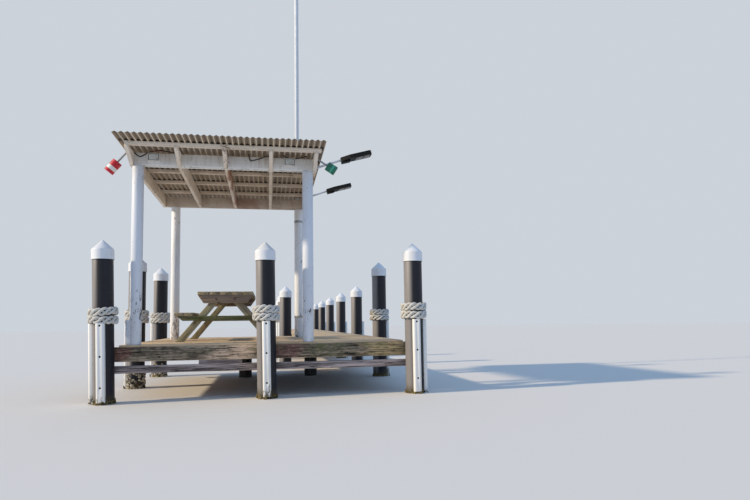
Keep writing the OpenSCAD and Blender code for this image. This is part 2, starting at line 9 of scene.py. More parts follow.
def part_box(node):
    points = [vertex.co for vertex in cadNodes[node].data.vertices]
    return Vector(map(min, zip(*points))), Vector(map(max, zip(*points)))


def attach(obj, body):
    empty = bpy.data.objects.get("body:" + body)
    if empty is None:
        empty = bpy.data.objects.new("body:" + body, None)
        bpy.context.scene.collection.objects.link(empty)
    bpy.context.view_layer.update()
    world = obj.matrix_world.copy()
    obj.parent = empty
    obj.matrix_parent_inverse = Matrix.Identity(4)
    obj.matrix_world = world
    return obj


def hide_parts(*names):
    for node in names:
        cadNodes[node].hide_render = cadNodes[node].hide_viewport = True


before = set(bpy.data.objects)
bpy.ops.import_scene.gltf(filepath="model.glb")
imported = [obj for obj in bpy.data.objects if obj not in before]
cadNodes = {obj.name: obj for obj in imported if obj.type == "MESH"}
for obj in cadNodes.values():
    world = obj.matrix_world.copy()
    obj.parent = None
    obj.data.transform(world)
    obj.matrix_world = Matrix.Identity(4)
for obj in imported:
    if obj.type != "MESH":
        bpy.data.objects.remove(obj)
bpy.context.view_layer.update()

print("frame loaded,", len(cadNodes), "nodes")


def rotation(degrees, axis):
    return Matrix.Rotation(math.radians(degrees), 4, axis)


# Camera: low over the water, in front of the head and a little to its left
cameraSettings = dict(
    place=(0.013, -7.807, 0.981), yaw=10.584, pitch=4.149, roll=-0.769, lens=27.51, shiftUp=0.0406, farthest=200)


def makeCamera(settings):
    data = bpy.data.cameras.new("camera")
    data.lens = settings["lens"]
    data.shift_y = settings["shiftUp"]
    data.clip_end = settings["farthest"]
    camera = bpy.data.objects.new("camera", data)
    bpy.context.scene.collection.objects.link(camera)
    aim = rotation(-settings["yaw"], "Z") @ rotation(90 + settings["pitch"], "X") @ rotation(settings["roll"], "Z")
    camera.matrix_world = Matrix.Translation(settings["place"]) @ aim
    bpy.context.scene.camera = camera


makeCamera(cameraSettings)
print("camera placed")


# Finishes. A Wire is one socket, and sums written with it add Math nodes
class Wire:
    def __init__(self, finish, socket):
        self.finish = finish
        self.socket = socket

    def maths(self, operation, *values):
        return self.finish.node("ShaderNodeMath", {"operation": operation}, values)

    def __add__(self, other):
        return self.maths("ADD", self, other)

    def __radd__(self, other):
        return self.maths("ADD", other, self)

    def __sub__(self, other):
        return self.maths("SUBTRACT", self, other)

    def __rsub__(self, other):
        return self.maths("SUBTRACT", other, self)

    def __mul__(self, other):
        return self.maths("MULTIPLY", self, other)

    def __rmul__(self, other):
        return self.maths("MULTIPLY", other, self)

    def __mod__(self, other):
        return self.maths("FLOORED_MODULO", self, other)

    def __pow__(self, other):
        return self.maths("POWER", self, other)

    def __abs__(self):
        return self.maths("ABSOLUTE", self)

    def highest(self, other):
        return self.maths("MAXIMUM", self, other)

    def lowest(self, other):
        return self.maths("MINIMUM", self, other)

    def sine(self):
        return self.maths("SINE", self)

    # A mask: 0 at the first value, 1 at the second, and soft between them
    def between(self, none, full):
        limits = {"Value": self, "From Min": none, "From Max": full}
        return self.finish.node("ShaderNodeMapRange", {"interpolation_type": "SMOOTHSTEP"}, limits)


class Finish:
    def __init__(self, name, sheen=0.5):
        self.material = bpy.data.materials.new(name)
        self.material.use_nodes = True
        self.tree = self.material.node_tree
        self.shader = self.tree.nodes["Principled BSDF"]
        self.shader.inputs["Specular IOR Level"].default_value = sheen

    def feed(self, socket, value):
        if isinstance(value, Wire):
            self.tree.links.new(value.socket, socket)
        elif socket.type == "RGBA":
            socket.default_value = (*value, 1)
        else:
            socket.default_value = value

    def node(self, kind, settings, inputs, output=0):
        made = self.tree.nodes.new(kind)
        for name, value in settings.items():
            setattr(made, name, value)
        for key, value in inputs.items() if isinstance(inputs, dict) else enumerate(inputs):
            self.feed(made.inputs[key], value)
        return Wire(self, made.outputs[output]) if output is not None else None

    def objectPlace(self):
        return self.node("ShaderNodeTexCoord", {}, {}, "Object")

    def mark(self, name, output="Fac"):
        return self.node("ShaderNodeAttribute", {"attribute_name": name}, {}, output)

    def parts(self, vector):
        split = self.node("ShaderNodeSeparateXYZ", {}, [vector]).socket.node
        return [Wire(self, output) for output in split.outputs]

    def vectors(self, operation, *values):
        return self.node("ShaderNodeVectorMath", {"operation": operation}, values)

    # A texture at one scale, or at another along each axis
    def texture(self, kind, place, scale, sizes, output=0):
        if isinstance(scale, tuple):
            place, scale = self.node("ShaderNodeMapping", {}, {"Vector": place, "Scale": scale}), 1
        return self.node(kind, {}, {"Vector": place, "Scale": scale, **sizes}, output)

    def cloud(self, place, scale, detail=4, roughness=0.55, twist=0):
        sizes = {"Detail": detail, "Roughness": roughness, "Distortion": twist}
        return self.texture("ShaderNodeTexNoise", place, scale, sizes)

    def cells(self, place, scale, output="Distance"):
        return self.texture("ShaderNodeTexVoronoi", place, scale, {}, output)

    def blend(self, mask, below, above, kind="MIX"):
        return self.node("ShaderNodeMix", {"data_type": "RGBA", "blend_type": kind}, {0: mask, 6: below, 7: above}, 2)

    # Coats over a colour, one after another, each with its own mask
    def coated(self, colour, *coats):
        for mask, coat in coats:
            colour = self.blend(mask, colour, coat)
        return colour

    def show(self, colour, roughness, height=None, relief=0, metallic=0):
        inputs = {"Base Color": colour, "Roughness": roughness, "Metallic": metallic}
        if height:
            inputs["Normal"] = self.node("ShaderNodeBump", {}, {"Height": height, "Distance": relief})
        for socket, value in inputs.items():
            self.feed(self.shader.inputs[socket], value)
        return self.material

    # Each length of timber gets its own stretch of grain
    def grainPlace(self):
        tone = self.mark("tone")
        away = self.node("ShaderNodeCombineXYZ", {}, [tone * 31, tone * 17, tone * 47])
        return self.vectors("ADD", self.mark("place", "Vector"), away)

    # How far a point lies from the nearest edge of its timber: the middle one of its distances from three faces
    def fromEdge(self):
        out = self.vectors("ABSOLUTE", self.mark("place", "Vector"))
        x, y, z = self.parts(self.vectors("SUBTRACT", self.mark("half", "Vector"), out))
        return x + y + z - x.highest(y.highest(z)) - x.lowest(y.lowest(z))


class Sky(Finish):
    def __init__(self, name):
        world = bpy.data.worlds.new(name)
        bpy.context.scene.world = world
        world.use_nodes = True
        self.tree = world.node_tree
        self.tree.nodes.clear()


def darker(colour, share):
    return [tone * share for tone in colour]


# Sawn timber. A zone is its middle along x, half its length, its colour and how much of it shows
def timberFinish(name, look):
    finish = Finish(name, 0.25)
    place, where, tone = finish.grainPlace(), finish.objectPlace(), finish.mark("tone")
    x, z = finish.parts(where)[::2]
    fibres = finish.cloud(place, (3, 70, 70), 6, 0.7)
    streaks = finish.cloud(place, (0.9, 16, 16), 4, 0.6, 0.4)
    patches = finish.cloud(place, (1.4, 3.5, 3.5), 3)
    checks = finish.cloud(place, (1.1, 34, 34), 3, 0.5, 0.2)
    cracks = abs(checks - 0.5).between(look["crackWidth"], 0.003) * patches.between(0.40, 0.56)
    knots = finish.cells(place, (2.4, 7.5, 7.5)).between(0.1, 0.05)
    edge = finish.fromEdge() + (fibres - 0.5) * 0.012
    grain = finish.blend((streaks * 0.55 + fibres * 0.45).between(*look["grain"]), look["dark"], look["pale"])
    colour = finish.coated(
        grain, ((patches + (tone - 0.5) * 0.5).between(0.42, 0.68), look["patch"]),
        (tone.between(0.55, 1) * 0.5, look["other"]))
    for middle, half, shade, amount in look["zones"]:
        reach = abs(x - middle) + (streaks - 0.5) * half * 1.4 + (patches - 0.5) * half
        colour = finish.blend(reach.between(half, half * 0.45) * amount, colour, shade)
    if "scuff" in look:
        scuffs = finish.cloud(where, (15, 20, 42), 4, 0.6)
        colour = finish.coated(
            colour, (scuffs.between(0.52, 0.62) * look["scuff"], look["scuffDark"]),
            (scuffs.between(0.46, 0.37) * look["scuff"] * 0.6, look["scuffPale"]))
    for across, height, radius in look["knotSpots"]:
        aside, above = x - across, z - height
        away = (aside * aside + above * above * 2.2) ** 0.5 + (fibres - 0.5) * radius * 0.7
        knots = knots.highest(away.between(radius, radius * 0.3))
    colour = finish.coated(
        colour, (knots * 0.8, look["knotColour"]), (cracks * 0.85, look["crack"]),
        (edge.between(0.007, 0.001) * look["wear"], look["worn"]))
    if "moss" in look:
        wet = z.between(look["mossLow"], look["mossHigh"])
        green = finish.cloud(where, 5, 6, 0.65).between(0.5, 0.62)
        colour = finish.blend(green * wet * look["mossAmount"], colour, look["moss"])
    height = fibres * 0.35 + streaks * 0.65 - cracks * 1.6 - knots * 0.3
    return finish.show(colour, 0.72 + fibres * 0.25, height, look["relief"])


# Old paint that flakes off to bare wood. Rust is given as the zones of timber are
def paintedFinish(name, look):
    finish = Finish(name, 0.35)
    place, where = finish.grainPlace(), finish.objectPlace()
    x, y, z = finish.parts(where)
    brush = finish.cloud(place, (2.5, 90, 90), 5, 0.6)
    grime = finish.cloud(where, look["runs"], 5, 0.6, 0.3)
    flakes = finish.cloud(place, (9, 34, 34), 5, 0.72, 0.6)
    clumps = finish.cloud(where, 2.3, 3, 0.5)
    specks = finish.cells(place, (12, 34, 34)).between(0.17, 0.1)
    low = z.between(look["wornTop"], look["wornFoot"])
    wear = flakes + (clumps - 0.5) * 0.55 + low * look["lowWear"]
    flaked = wear.between(look["flakeFrom"], look["flakeFrom"] + 0.02)
    flaked = flaked.highest(specks * (clumps + low * 0.25).between(0.5, 0.62) * look["specks"])
    if look["edges"]:
        edge = finish.fromEdge() + (flakes - 0.5) * 0.03
        flaked = flaked.highest(edge.between(0.0035, 0.0015) * look["edges"])
    paint = finish.coated(
        look["paint"], (grime.between(0.45, 0.75) * look["dirt"], look["grime"]),
        (brush.between(0.3, 0.7) * 0.35, look["paintOther"]))
    # Paler towards the front ends of the rafters: partly paler paint, partly painted light where the ends see the sky
    if "frontPaintAndLight" in look:
        paint = finish.blend(y.between(*look["frontEdge"]) * (1 - flakes * 0.3), paint, look["frontPaintAndLight"])
    if "lipHighlight" in look:
        # Paler along the lower edge of the front roof beam: a painted highlight on its lit ledge
        paint = finish.blend((z + (flakes - 0.5) * 0.02).between(*look["lipEdge"]), paint, look["lipHighlight"])
    for middle, half, colour, amount in look["rust"]:
        reach = abs(x - middle) + (clumps - 0.5) * half * 5 + (grime - 0.5) * half * 3
        paint = finish.blend(reach.between(half, half * -0.4) * amount, paint, colour)
    colour = finish.blend(flaked, paint, finish.blend(brush, look["woodDark"], look["woodPale"]))
    return finish.show(colour, 0.42 + flaked * 0.4 + grime * 0.15, (1 - flaked) * 0.6 + brush * 0.12, 0.0016)


def metalFinish(name, base, rust, rustAmount, metal=0.8):
    finish = Finish(name)
    where = finish.objectPlace()
    spangle = finish.cells(where, 55, "Color")
    grain = finish.cloud(where, 30, 5, 0.65)
    bitten = finish.cloud(where, 11, 6, 0.7).between(0.72 - rustAmount * 0.4, 0.8 - rustAmount * 0.4)
    clean = finish.blend(0.12, finish.blend(grain, base, darker(base, 0.7)), spangle, "OVERLAY")
    colour = finish.blend(bitten, clean, finish.blend(grain, rust, darker(rust, 0.45)))
    return finish.show(
        colour, 0.42 + grain * 0.2 + bitten * 0.3, grain + bitten * 0.6, 0.001, (1 - bitten) * metal)


def plasticFinish(name, base, dirt, amount=0.5, rough=0.4, sheen=0.5):
    finish = Finish(name, sheen)
    where = finish.objectPlace()
    film = finish.cloud(where, 18, 5, 0.65)
    fine = finish.cloud(where, 220, 3, 0.6)
    colour = finish.blend(film.between(0.42, 0.72) * amount, base, dirt)
    return finish.show(colour, rough + film * 0.25, film * 0.4 + fine * 0.3, 0.0008)


def crustFinish(name, low, high, dark):
    finish = Finish(name, 0.3)
    where = finish.objectPlace()
    rings = finish.cloud(where, 70, 5, 0.7)
    patches = finish.cloud(where, 22, 4, 0.6)
    colour = finish.blend(patches.between(0.5, 0.62), finish.blend(rings.between(0.35, 0.65), low, high), dark)
    return finish.show(colour, 0.8, rings, 0.004)


weatheredGrey = dict(
    dark=(0.105, 0.098, 0.082), pale=(0.27, 0.255, 0.225), patch=(0.20, 0.175, 0.13), other=(0.22, 0.21, 0.2),
    knotColour=(0.035, 0.028, 0.02), crack=(0.02, 0.017, 0.013), worn=(0.36, 0.33, 0.27), grain=(0.36, 0.64),
    crackWidth=0.012, wear=0.5, relief=0.004, mossAmount=0.7, zones=(), knotSpots=())
timberLooks = dict(
    deck=dict(
        dark=(0.49, 0.305, 0.155), pale=(0.87, 0.63, 0.385), patch=(0.70, 0.51, 0.305), other=(0.58, 0.43, 0.27),
        worn=(0.82, 0.65, 0.44), wear=0.7),
    frame=dict(
        dark=(0.07, 0.056, 0.04), pale=(0.19, 0.155, 0.11), patch=(0.13, 0.105, 0.07), worn=(0.24, 0.2, 0.15),
        moss=(0.075, 0.095, 0.035), mossLow=0.3, mossHigh=0.7),
    frontBeam=dict(
        dark=(0.085, 0.062, 0.04), pale=(0.42, 0.33, 0.22), patch=(0.22, 0.18, 0.11), worn=(0.60, 0.46, 0.31),
        grain=(0.41, 0.61), crackWidth=0.022, wear=0.7, relief=0.006, moss=(0.15, 0.15, 0.055), mossLow=0.56,
        mossHigh=0.72, mossAmount=0.6, scuff=0.6, scuffDark=(0.085, 0.065, 0.045), scuffPale=(0.62, 0.42, 0.30),
        zones=(
            # The pale zones at x -0.42 and 1.62 are painted sunlight on the beam's front
            (-1.9, 0.24, (0.27, 0.12, 0.085), 0.75), (-0.42, 0.42, (0.90, 0.64, 0.43), 0.8),
            (0.24, 0.3, (0.28, 0.13, 0.10), 0.7), (0.85, 0.35, (0.16, 0.15, 0.08), 0.6),
            (1.62, 0.4, (0.66, 0.47, 0.22), 0.75)),
        knotSpots=((-1.636, 0.634, 0.05), (-1.388, 0.564, 0.028), (1.22, 0.66, 0.02), (-0.14, 0.60, 0.02))),
    rail=dict(
        dark=(0.16, 0.125, 0.11), pale=(0.62, 0.49, 0.43), patch=(0.33, 0.25, 0.21), other=(0.3, 0.26, 0.25),
        worn=(0.55, 0.46, 0.40), grain=(0.41, 0.61), crackWidth=0.018),
    table=dict(
        dark=(0.18, 0.13, 0.075), pale=(0.53, 0.425, 0.265), patch=(0.31, 0.265, 0.145), other=(0.41, 0.345, 0.205),
        worn=(0.62, 0.51, 0.35), moss=(0.15, 0.155, 0.055), mossLow=0.6, mossHigh=1.6, mossAmount=0.4),
    tableRail=dict(
        dark=(0.13, 0.09, 0.06), pale=(0.38, 0.28, 0.20), patch=(0.24, 0.17, 0.12), other=(0.30, 0.22, 0.16),
        worn=(0.48, 0.38, 0.28), grain=(0.41, 0.6)),
    tableMossy=dict(
        dark=(0.065, 0.058, 0.028), pale=(0.27, 0.24, 0.13), patch=(0.13, 0.125, 0.05), other=(0.2, 0.18, 0.09),
        worn=(0.34, 0.30, 0.18), grain=(0.41, 0.6), moss=(0.10, 0.12, 0.035), mossLow=0.6, mossHigh=1.0),
    bearingPile=dict(dark=(0.05, 0.042, 0.033), pale=(0.13, 0.115, 0.09), patch=(0.09, 0.08, 0.05)))
plainPaint = dict(
    woodDark=(0.09, 0.085, 0.08), woodPale=(0.27, 0.25, 0.225), runs=(9, 9, 1.2), wornTop=2.0, wornFoot=0.8,
    lowWear=0.1, specks=1, edges=0, dirt=0.5, rust=())
wornRoofPaint = dict(
    paint=(0.82, 0.70, 0.56), paintOther=(0.68, 0.55, 0.42), grime=(0.46, 0.33, 0.23), woodDark=(0.22, 0.15, 0.10),
    woodPale=(0.42, 0.32, 0.23), flakeFrom=0.64, lowWear=0, edges=0.7, runs=(7, 2.2, 7), dirt=0.6, specks=0.5,
    # Paler towards the front ends of the rafters: partly paler paint, partly painted light where the ends see the sky
    frontPaintAndLight=(0.87, 0.78, 0.67), frontEdge=(0.21, 0.17))
paintLooks = dict(
    # The rear posts have the front posts' paint made paler, as painted light, and the front posts' paint is tinted a
    # little blue, carrying part of the blue of the shade
    post=dict(
        paint=(0.75, 0.765, 0.79), paintOther=(0.67, 0.685, 0.715), grime=(0.44, 0.43, 0.4), flakeFrom=0.70,
        wornTop=1.9, specks=0.65),
    rearPostLit=dict(
        paint=(0.95, 0.93, 0.90), paintOther=(0.89, 0.87, 0.83), grime=(0.56, 0.54, 0.50), flakeFrom=0.69,
        lowWear=0.16, wornTop=1.5, specks=0.8),
    roof=dict(
        paint=(0.80, 0.78, 0.73), paintOther=(0.68, 0.66, 0.61), grime=(0.50, 0.40, 0.30),
        woodDark=(0.17, 0.125, 0.085), woodPale=(0.34, 0.28, 0.21), flakeFrom=0.67, lowWear=0, edges=0.8,
        # The lip colour is a painted highlight along the lit lower edge of the front roof beam
        runs=(12, 5, 3.5), dirt=0.85, lipHighlight=(0.88, 0.845, 0.77), lipEdge=(3.145, 3.133)),
    wornRoof=wornRoofPaint,
    # The rust on the right face of the inner rafter at x -0.53 is partly rust and partly painted shade on that face
    rafter=dict(wornRoofPaint, rust=((-0.530, 0.032, (0.33, 0.115, 0.055), 0.9),)),
    rearRoof=dict(
        paint=(0.70, 0.60, 0.50), paintOther=(0.56, 0.46, 0.37), grime=(0.38, 0.28, 0.20),
        woodDark=(0.2, 0.14, 0.09), woodPale=(0.38, 0.29, 0.21), flakeFrom=0.66, lowWear=0, edges=0.7,
        runs=(6, 6, 2.5), dirt=0.7, specks=0.6, rust=((-0.40, 0.3, (0.34, 0.15, 0.09), 0.6),)),
    strip=dict(
        paint=(0.94, 0.90, 0.82), paintOther=(0.84, 0.80, 0.73), grime=(0.60, 0.52, 0.40),
        woodDark=(0.14, 0.12, 0.09), woodPale=(0.30, 0.27, 0.21), flakeFrom=0.71, wornTop=0.35, wornFoot=0.02,
        lowWear=0.18, edges=0.5, specks=0.3))
finishes = dict(
    # Inside the bolt pockets: near black
    pocket=metalFinish("pocketNearBlack", (0.03, 0.027, 0.026), (0.035, 0.02, 0.013), 0.9, 0.1),
    galvanised=metalFinish("galvanisedSteel", (0.42, 0.43, 0.44), (0.17, 0.08, 0.035), 0.25),
    rusted=metalFinish("rustedSteel", (0.20, 0.18, 0.17), (0.11, 0.05, 0.025), 0.9, 0.4),
    pole=plasticFinish("polePaint", (0.70, 0.72, 0.74), (0.50, 0.50, 0.48), 0.5, 0.35),
    box=plasticFinish("boxPlastic", (0.80, 0.79, 0.75), (0.50, 0.45, 0.38), 0.6, 0.45),
    boxJoint=plasticFinish("boxJoint", (0.06, 0.055, 0.05), (0.03, 0.028, 0.025), 0.7, 0.6),
    boxLid=plasticFinish("boxLidPlastic", (0.60, 0.61, 0.56), (0.40, 0.37, 0.31), 0.7, 0.45),
    arm=plasticFinish("armPaint", (0.66, 0.66, 0.66), (0.42, 0.41, 0.39), 0.6, 0.35),
    head=plasticFinish("lampHeadPaint", (0.005, 0.005, 0.006), (0.016, 0.015, 0.014), 0.7, 0.5, 0.2),
    lens=plasticFinish("lampLens", (0.17, 0.155, 0.15), (0.08, 0.07, 0.065), 0.7, 0.2, 0.35),
    crust=crustFinish("shellCrust", (0.26, 0.21, 0.13), (0.66, 0.59, 0.46), (0.12, 0.10, 0.06)),
    slime=crustFinish("slimeCrust", (0.09, 0.065, 0.02), (0.34, 0.26, 0.10), (0.03, 0.026, 0.014)))
for name, look in timberLooks.items():
    finishes[name] = timberFinish(name + "Timber", dict(weatheredGrey, **look))
for name, look in paintLooks.items():
    finishes[name] = paintedFinish(name + "Paint", dict(plainPaint, **look))
print("shared finishes made")


# Shared mesh work
def startPiece():
    whole = bmesh.new()
    whole.verts.layers.float_vector.new("place")
    whole.verts.layers.float_vector.new("half")
    whole.verts.layers.float.new("tone")
    return whole


def addTo(whole, part, place=Matrix()):
    bmesh.ops.transform(part, matrix=place, verts=part.verts)
    spare = bpy.data.meshes.new("spare")
    part.to_mesh(spare)
    part.free()
    whole.from_mesh(spare)
    bpy.data.meshes.remove(spare)


def finishPiece(whole, name, finishNames, slot, standsFor=(), smoothAngle=25):
    for face in whole.faces:
        face.smooth = True
    for edge in whole.edges:
        edge.smooth = edge.is_manifold and edge.calc_face_angle(0) < math.radians(smoothAngle)
    mesh = bpy.data.meshes.new(name)
    whole.to_mesh(mesh)
    whole.free()
    for finishName in finishNames.split():
        mesh.materials.append(finishes[finishName])
    piece = bpy.data.objects.new(name, mesh)
    bpy.context.scene.collection.objects.link(piece)
    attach(piece, "root")
    if standsFor:
        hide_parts(*standsFor)
    print("made", name)


def easeEdges(part, edges, size, segments=2, clamp=False):
    bmesh.ops.bevel(
        part, geom=edges, offset=size, affect="EDGES", segments=segments, profile=0.5, material=-1,
        clamp_overlap=clamp)


# Keeps each timber's own measures on its points: its long side lies along the first
def markTimber(whole, verts, tone, turned=Matrix()):
    layers = whole.verts.layers
    placeMark, halfMark, toneMark = layers.float_vector["place"], layers.float_vector["half"], layers.float["tone"]
    spots = [turned @ vert.co for vert in verts]
    low, high = (Vector([pick(spot[axis] for spot in spots) for axis in range(3)]) for pick in (min, max))
    order = sorted(range(3), key=lambda axis: low[axis] - high[axis])
    for vert, spot in zip(verts, spots):
        fromMiddle = spot - (low + high) / 2
        vert[placeMark] = [fromMiddle[axis] for axis in order]
        vert[halfMark] = [(high[axis] - low[axis]) / 2 for axis in order]
        vert[toneMark] = tone


def islands(whole):
    left = set(whole.verts)
    while left:
        group, edge = [], [next(iter(left))]
        left.discard(edge[0])
        while edge:
            vert = edge.pop()
            group.append(vert)
            for link in vert.link_edges:
                other = link.other_vert(vert)
                if other in left:
                    left.discard(other)
                    edge.append(other)
        yield group


def markAll(whole, seed, turned=Matrix()):
    rng = random.Random(seed)
    groups = sorted(islands(whole), key=lambda group: min(tuple(round(c, 3) for c in vert.co) for vert in group))
    for group in groups:
        markTimber(whole, group, rng.random(), turned)


# A copy of a CAD node with merged points and eased edges
def easedCopy(node, edgeSize, seed, segments=2, turned=Matrix(), mergeWithin=0.00002, flatWithin=0.5, sharpFrom=30):
    whole = startPiece()
    whole.from_mesh(cadNodes[node].data)
    bmesh.ops.remove_doubles(whole, verts=whole.verts, dist=mergeWithin)
    bmesh.ops.dissolve_limit(whole, angle_limit=math.radians(flatWithin), verts=whole.verts, edges=whole.edges)
    if edgeSize:
        sharpAngle = math.radians(sharpFrom)
        sharp = [edge for edge in whole.edges if edge.is_manifold and edge.calc_face_angle(0) > sharpAngle]
        easeEdges(whole, sharp, edgeSize, segments, True)
    markAll(whole, seed, turned)
    return whole


def sawnBlock(size):
    part = startPiece()
    bmesh.ops.create_cube(part, size=1)
    bmesh.ops.scale(part, vec=size, verts=part.verts)
    return part


# A sawn board between two corners, with eased edges
def addBoard(whole, low, high, edgeSize, tone, place=Matrix()):
    low, high = Vector(low), Vector(high)
    part = sawnBlock(high - low)
    easeEdges(part, part.edges[:], edgeSize)
    markTimber(part, part.verts[:], tone)
    addTo(whole, part, place @ Matrix.Translation((low + high) / 2))


# A round shape from its profile of radius and height, closed on its axis
def turnedShape(profile, steps):
    part = startPiece()
    verts = [part.verts.new((radius, 0, height)) for radius, height in profile]
    edges = [part.edges.new(pair) for pair in zip(verts, verts[1:])]
    bmesh.ops.spin(
        part, geom=verts + edges, axis=(0, 0, 1), cent=(0, 0, 0), dvec=(0, 0, 0), angle=2 * math.pi,
        steps=steps, use_merge=True, use_duplicate=False)
    bmesh.ops.remove_doubles(part, verts=part.verts, dist=0.00001)
    bmesh.ops.recalc_face_normals(part, faces=part.faces)
    return part


# A bolt on its washer
def makeBolt(radius, height, washer, washerThick=0.002):
    part = startPiece()
    bmesh.ops.create_cone(
        part, cap_ends=True, segments=16, radius1=washer, radius2=washer * 0.94, depth=washerThick)
    bmesh.ops.translate(part, vec=(0, 0, washerThick / 2), verts=part.verts)
    head = bmesh.ops.create_cone(
        part, cap_ends=True, segments=6, radius1=radius, radius2=radius, depth=height)["verts"]
    bmesh.ops.translate(part, vec=(0, 0, washerThick + height / 2), verts=head)
    top = [face for face in part.faces if face.calc_center_median().z > height * 0.9 + 0.001]
    easeEdges(part, [edge for face in top for edge in face.edges], radius * 0.14, 1)
    return part


def makeScrew(radius):
    part = startPiece()
    bmesh.ops.create_cone(part, cap_ends=True, segments=8, radius1=radius, radius2=radius * 0.8, depth=0.0016)
    top = max(part.faces, key=lambda face: face.calc_center_median().z)
    bmesh.ops.inset_individual(part, faces=[top], thickness=radius * 0.35, depth=-0.0008)
    return part


# A round cord along a path, from small rings bridged one to the next. Its UV map runs along and around it
def cordAlong(spots, radii, sides, outward, closed=False):
    part = startPiece()
    lay = part.loops.layers.uv.new("lay")
    count = len(spots)
    marks = {}
    for step, spot in enumerate(spots):
        behind, before = (step - 1, (step + 1) % count) if closed else (max(step - 1, 0), min(step + 1, count - 1))
        ahead = (spots[before] - spots[behind]).normalized()
        side = ahead.cross(outward(spot)).normalized()
        turned = Matrix((side.cross(ahead), side, ahead)).transposed().to_4x4()
        ring = bmesh.ops.create_circle(
            part, segments=sides, radius=radii[step], matrix=Matrix.Translation(spot) @ turned)
        for corner, vert in enumerate(ring["verts"]):
            marks[vert] = step, corner
    bmesh.ops.bridge_loops(part, edges=part.edges[:], use_cyclic=closed)
    if not closed:
        bmesh.ops.holes_fill(part, edges=[edge for edge in part.edges if edge.is_boundary])
    length = sum((spots[step] - spots[step - 1]).length for step in range(1, count))
    for face in part.faces:
        steps, corners = zip(*(marks[loop.vert] for loop in face.loops))
        for loop, step, corner in zip(face.loops, steps, corners):
            if step == 0 and max(steps) == count - 1:
                step = count
            if corner == 0 and max(corners) == sides - 1:
                corner = sides
            loop[lay].uv = step / count * length, corner / sides
    bmesh.ops.recalc_face_normals(part, faces=part.faces)
    return part


# The roof's own frame: it slopes down to the rear from the foot of the front roof beam
roofPlace = Matrix.Translation((0, 0.193, 3.110)) @ rotation(-1.3, "X")

# Pile places: foot, lean to the left, and which way its rubbing strips face
pileSettings = dict(side=2.02, walkwayLeft=0.401, firstRow=5.31, rowStep=2.89, rows=5)
frontPiles = [((-2.02, 0), 1.5, (180, 270)), ((0, 0), 0.8, (270,)), ((2.02, 0), 0.2, (270, 0))]
sidePiles = [((-2.02, 1.77), 0, (180,)), ((-2.02, 3.78), 0, (180,)), ((2.02, 2.55), 0, (0,))]
walkwayPiles = [
    ((x, pileSettings["firstRow"] + pileSettings["rowStep"] * row), 0, strips)
    for row in range(pileSettings["rows"])
    for x, strips in ((pileSettings["side"], (0,)), (pileSettings["walkwayLeft"], (180,)))]


def pilePlace(pile, turn=0):
    foot, lean, strips = pile
    return Matrix.Translation((*foot, 0)) @ rotation(-lean, "Y") @ rotation(turn, "Z")


# Piles, sleeved in black plastic. Each point keeps how far it faces the key light's side, which is painted pale:
# partly sun-bleached chalk, partly painted sunlight
sleeveSettings = dict(
    edge=0.002, litSideFrom=(-0.906, -0.42, 0), slimeAt=(0.16, 0.02), black=(0.004, 0.006, 0.012),
    blackOther=(0.012, 0.013, 0.021), chalkAndSunlight=(0.25, 0.225, 0.21), fine=(0.014, 0.016, 0.024),
    fineChalkAndSunlight=(0.34, 0.31, 0.29), scuff=(0.12, 0.11, 0.10), slime=(0.085, 0.066, 0.028))


def sleeveFinish(look):
    finish = Finish("blackSleeve", 0.32)
    where = finish.objectPlace()
    z = finish.parts(where)[2]
    bloom = finish.cloud(where, (7, 7, 1.1), 5, 0.6)
    fine = finish.cloud(where, (60, 60, 5), 4, 0.6)
    scuffs = finish.cloud(where, (5, 5, 34), 5, 0.7).between(0.66, 0.72)
    # Pale on the side facing the key light: partly sun-bleached chalk, partly a painted sunlit sheen
    paleSideMask = (finish.mark("sunFacing") + (bloom - 0.5) * 0.16).between(0.58, 0.96)
    slime = (z + (fine - 0.5) * 0.1 + (bloom - 0.5) * 0.12).between(*look["slimeAt"])
    colour = finish.coated(
        look["black"], (bloom.between(0.3, 0.75), look["blackOther"]), (paleSideMask, look["chalkAndSunlight"]),
        (fine * 0.25, finish.blend(paleSideMask, look["fine"], look["fineChalkAndSunlight"])), (scuffs * 0.25, look["scuff"]),
        (slime * 0.85, look["slime"]))
    return finish.show(colour, 0.5 - bloom * 0.1 + slime * 0.2, bloom * 0.3 + fine * 0.4 + slime * fine, 0.003)


def makeSleeves(node, settings):
    whole = easedCopy(node, settings["edge"], 3)
    sunFacing = whole.verts.layers.float.new("sunFacing")
    whole.normal_update()
    for vert in whole.verts:
        vert[sunFacing] = max(0, vert.normal.dot(Vector(settings["litSideFrom"])))
    finishPiece(whole, node + "_sleeve", "sleeve", "pile_sleeve", [node])


finishes["sleeve"] = sleeveFinish(sleeveSettings)
for node in ("front_left_pile", "front_centre_pile", "front_right_pile", "head_side_piles", "walkway_piles"):
    makeSleeves(node, sleeveSettings)
finishPiece(
    easedCopy("bearing_piles", 0.004, 4), "bearing_piles_timber", "bearingPile", "bearing_pile", ["bearing_piles"])

# Caps
capSettings = dict(
    headBase=1.954, walkwayBase=1.692, steps=72, white=(0.80, 0.80, 0.80), film=(0.64, 0.63, 0.60),
    speck=(0.3, 0.28, 0.25), profile=[
        (0, -0.002), (0.1274, -0.002), (0.1274, -0.130), (0.1386, -0.130), (0.1392, -0.1285), (0.1392, -0.1195),
        (0.1384, -0.117), (0.1372, -0.1155), (0.137, -0.1135), (0.137, -0.012), (0.1366, -0.005), (0.1352, 0.0012),
        (0.1326, 0.0052), (0.12, 0.0167), (0.08, 0.0546), (0.04, 0.0925), (0.0145, 0.1167), (0.0095, 0.1208),
        (0.005, 0.1232), (0, 0.124)])


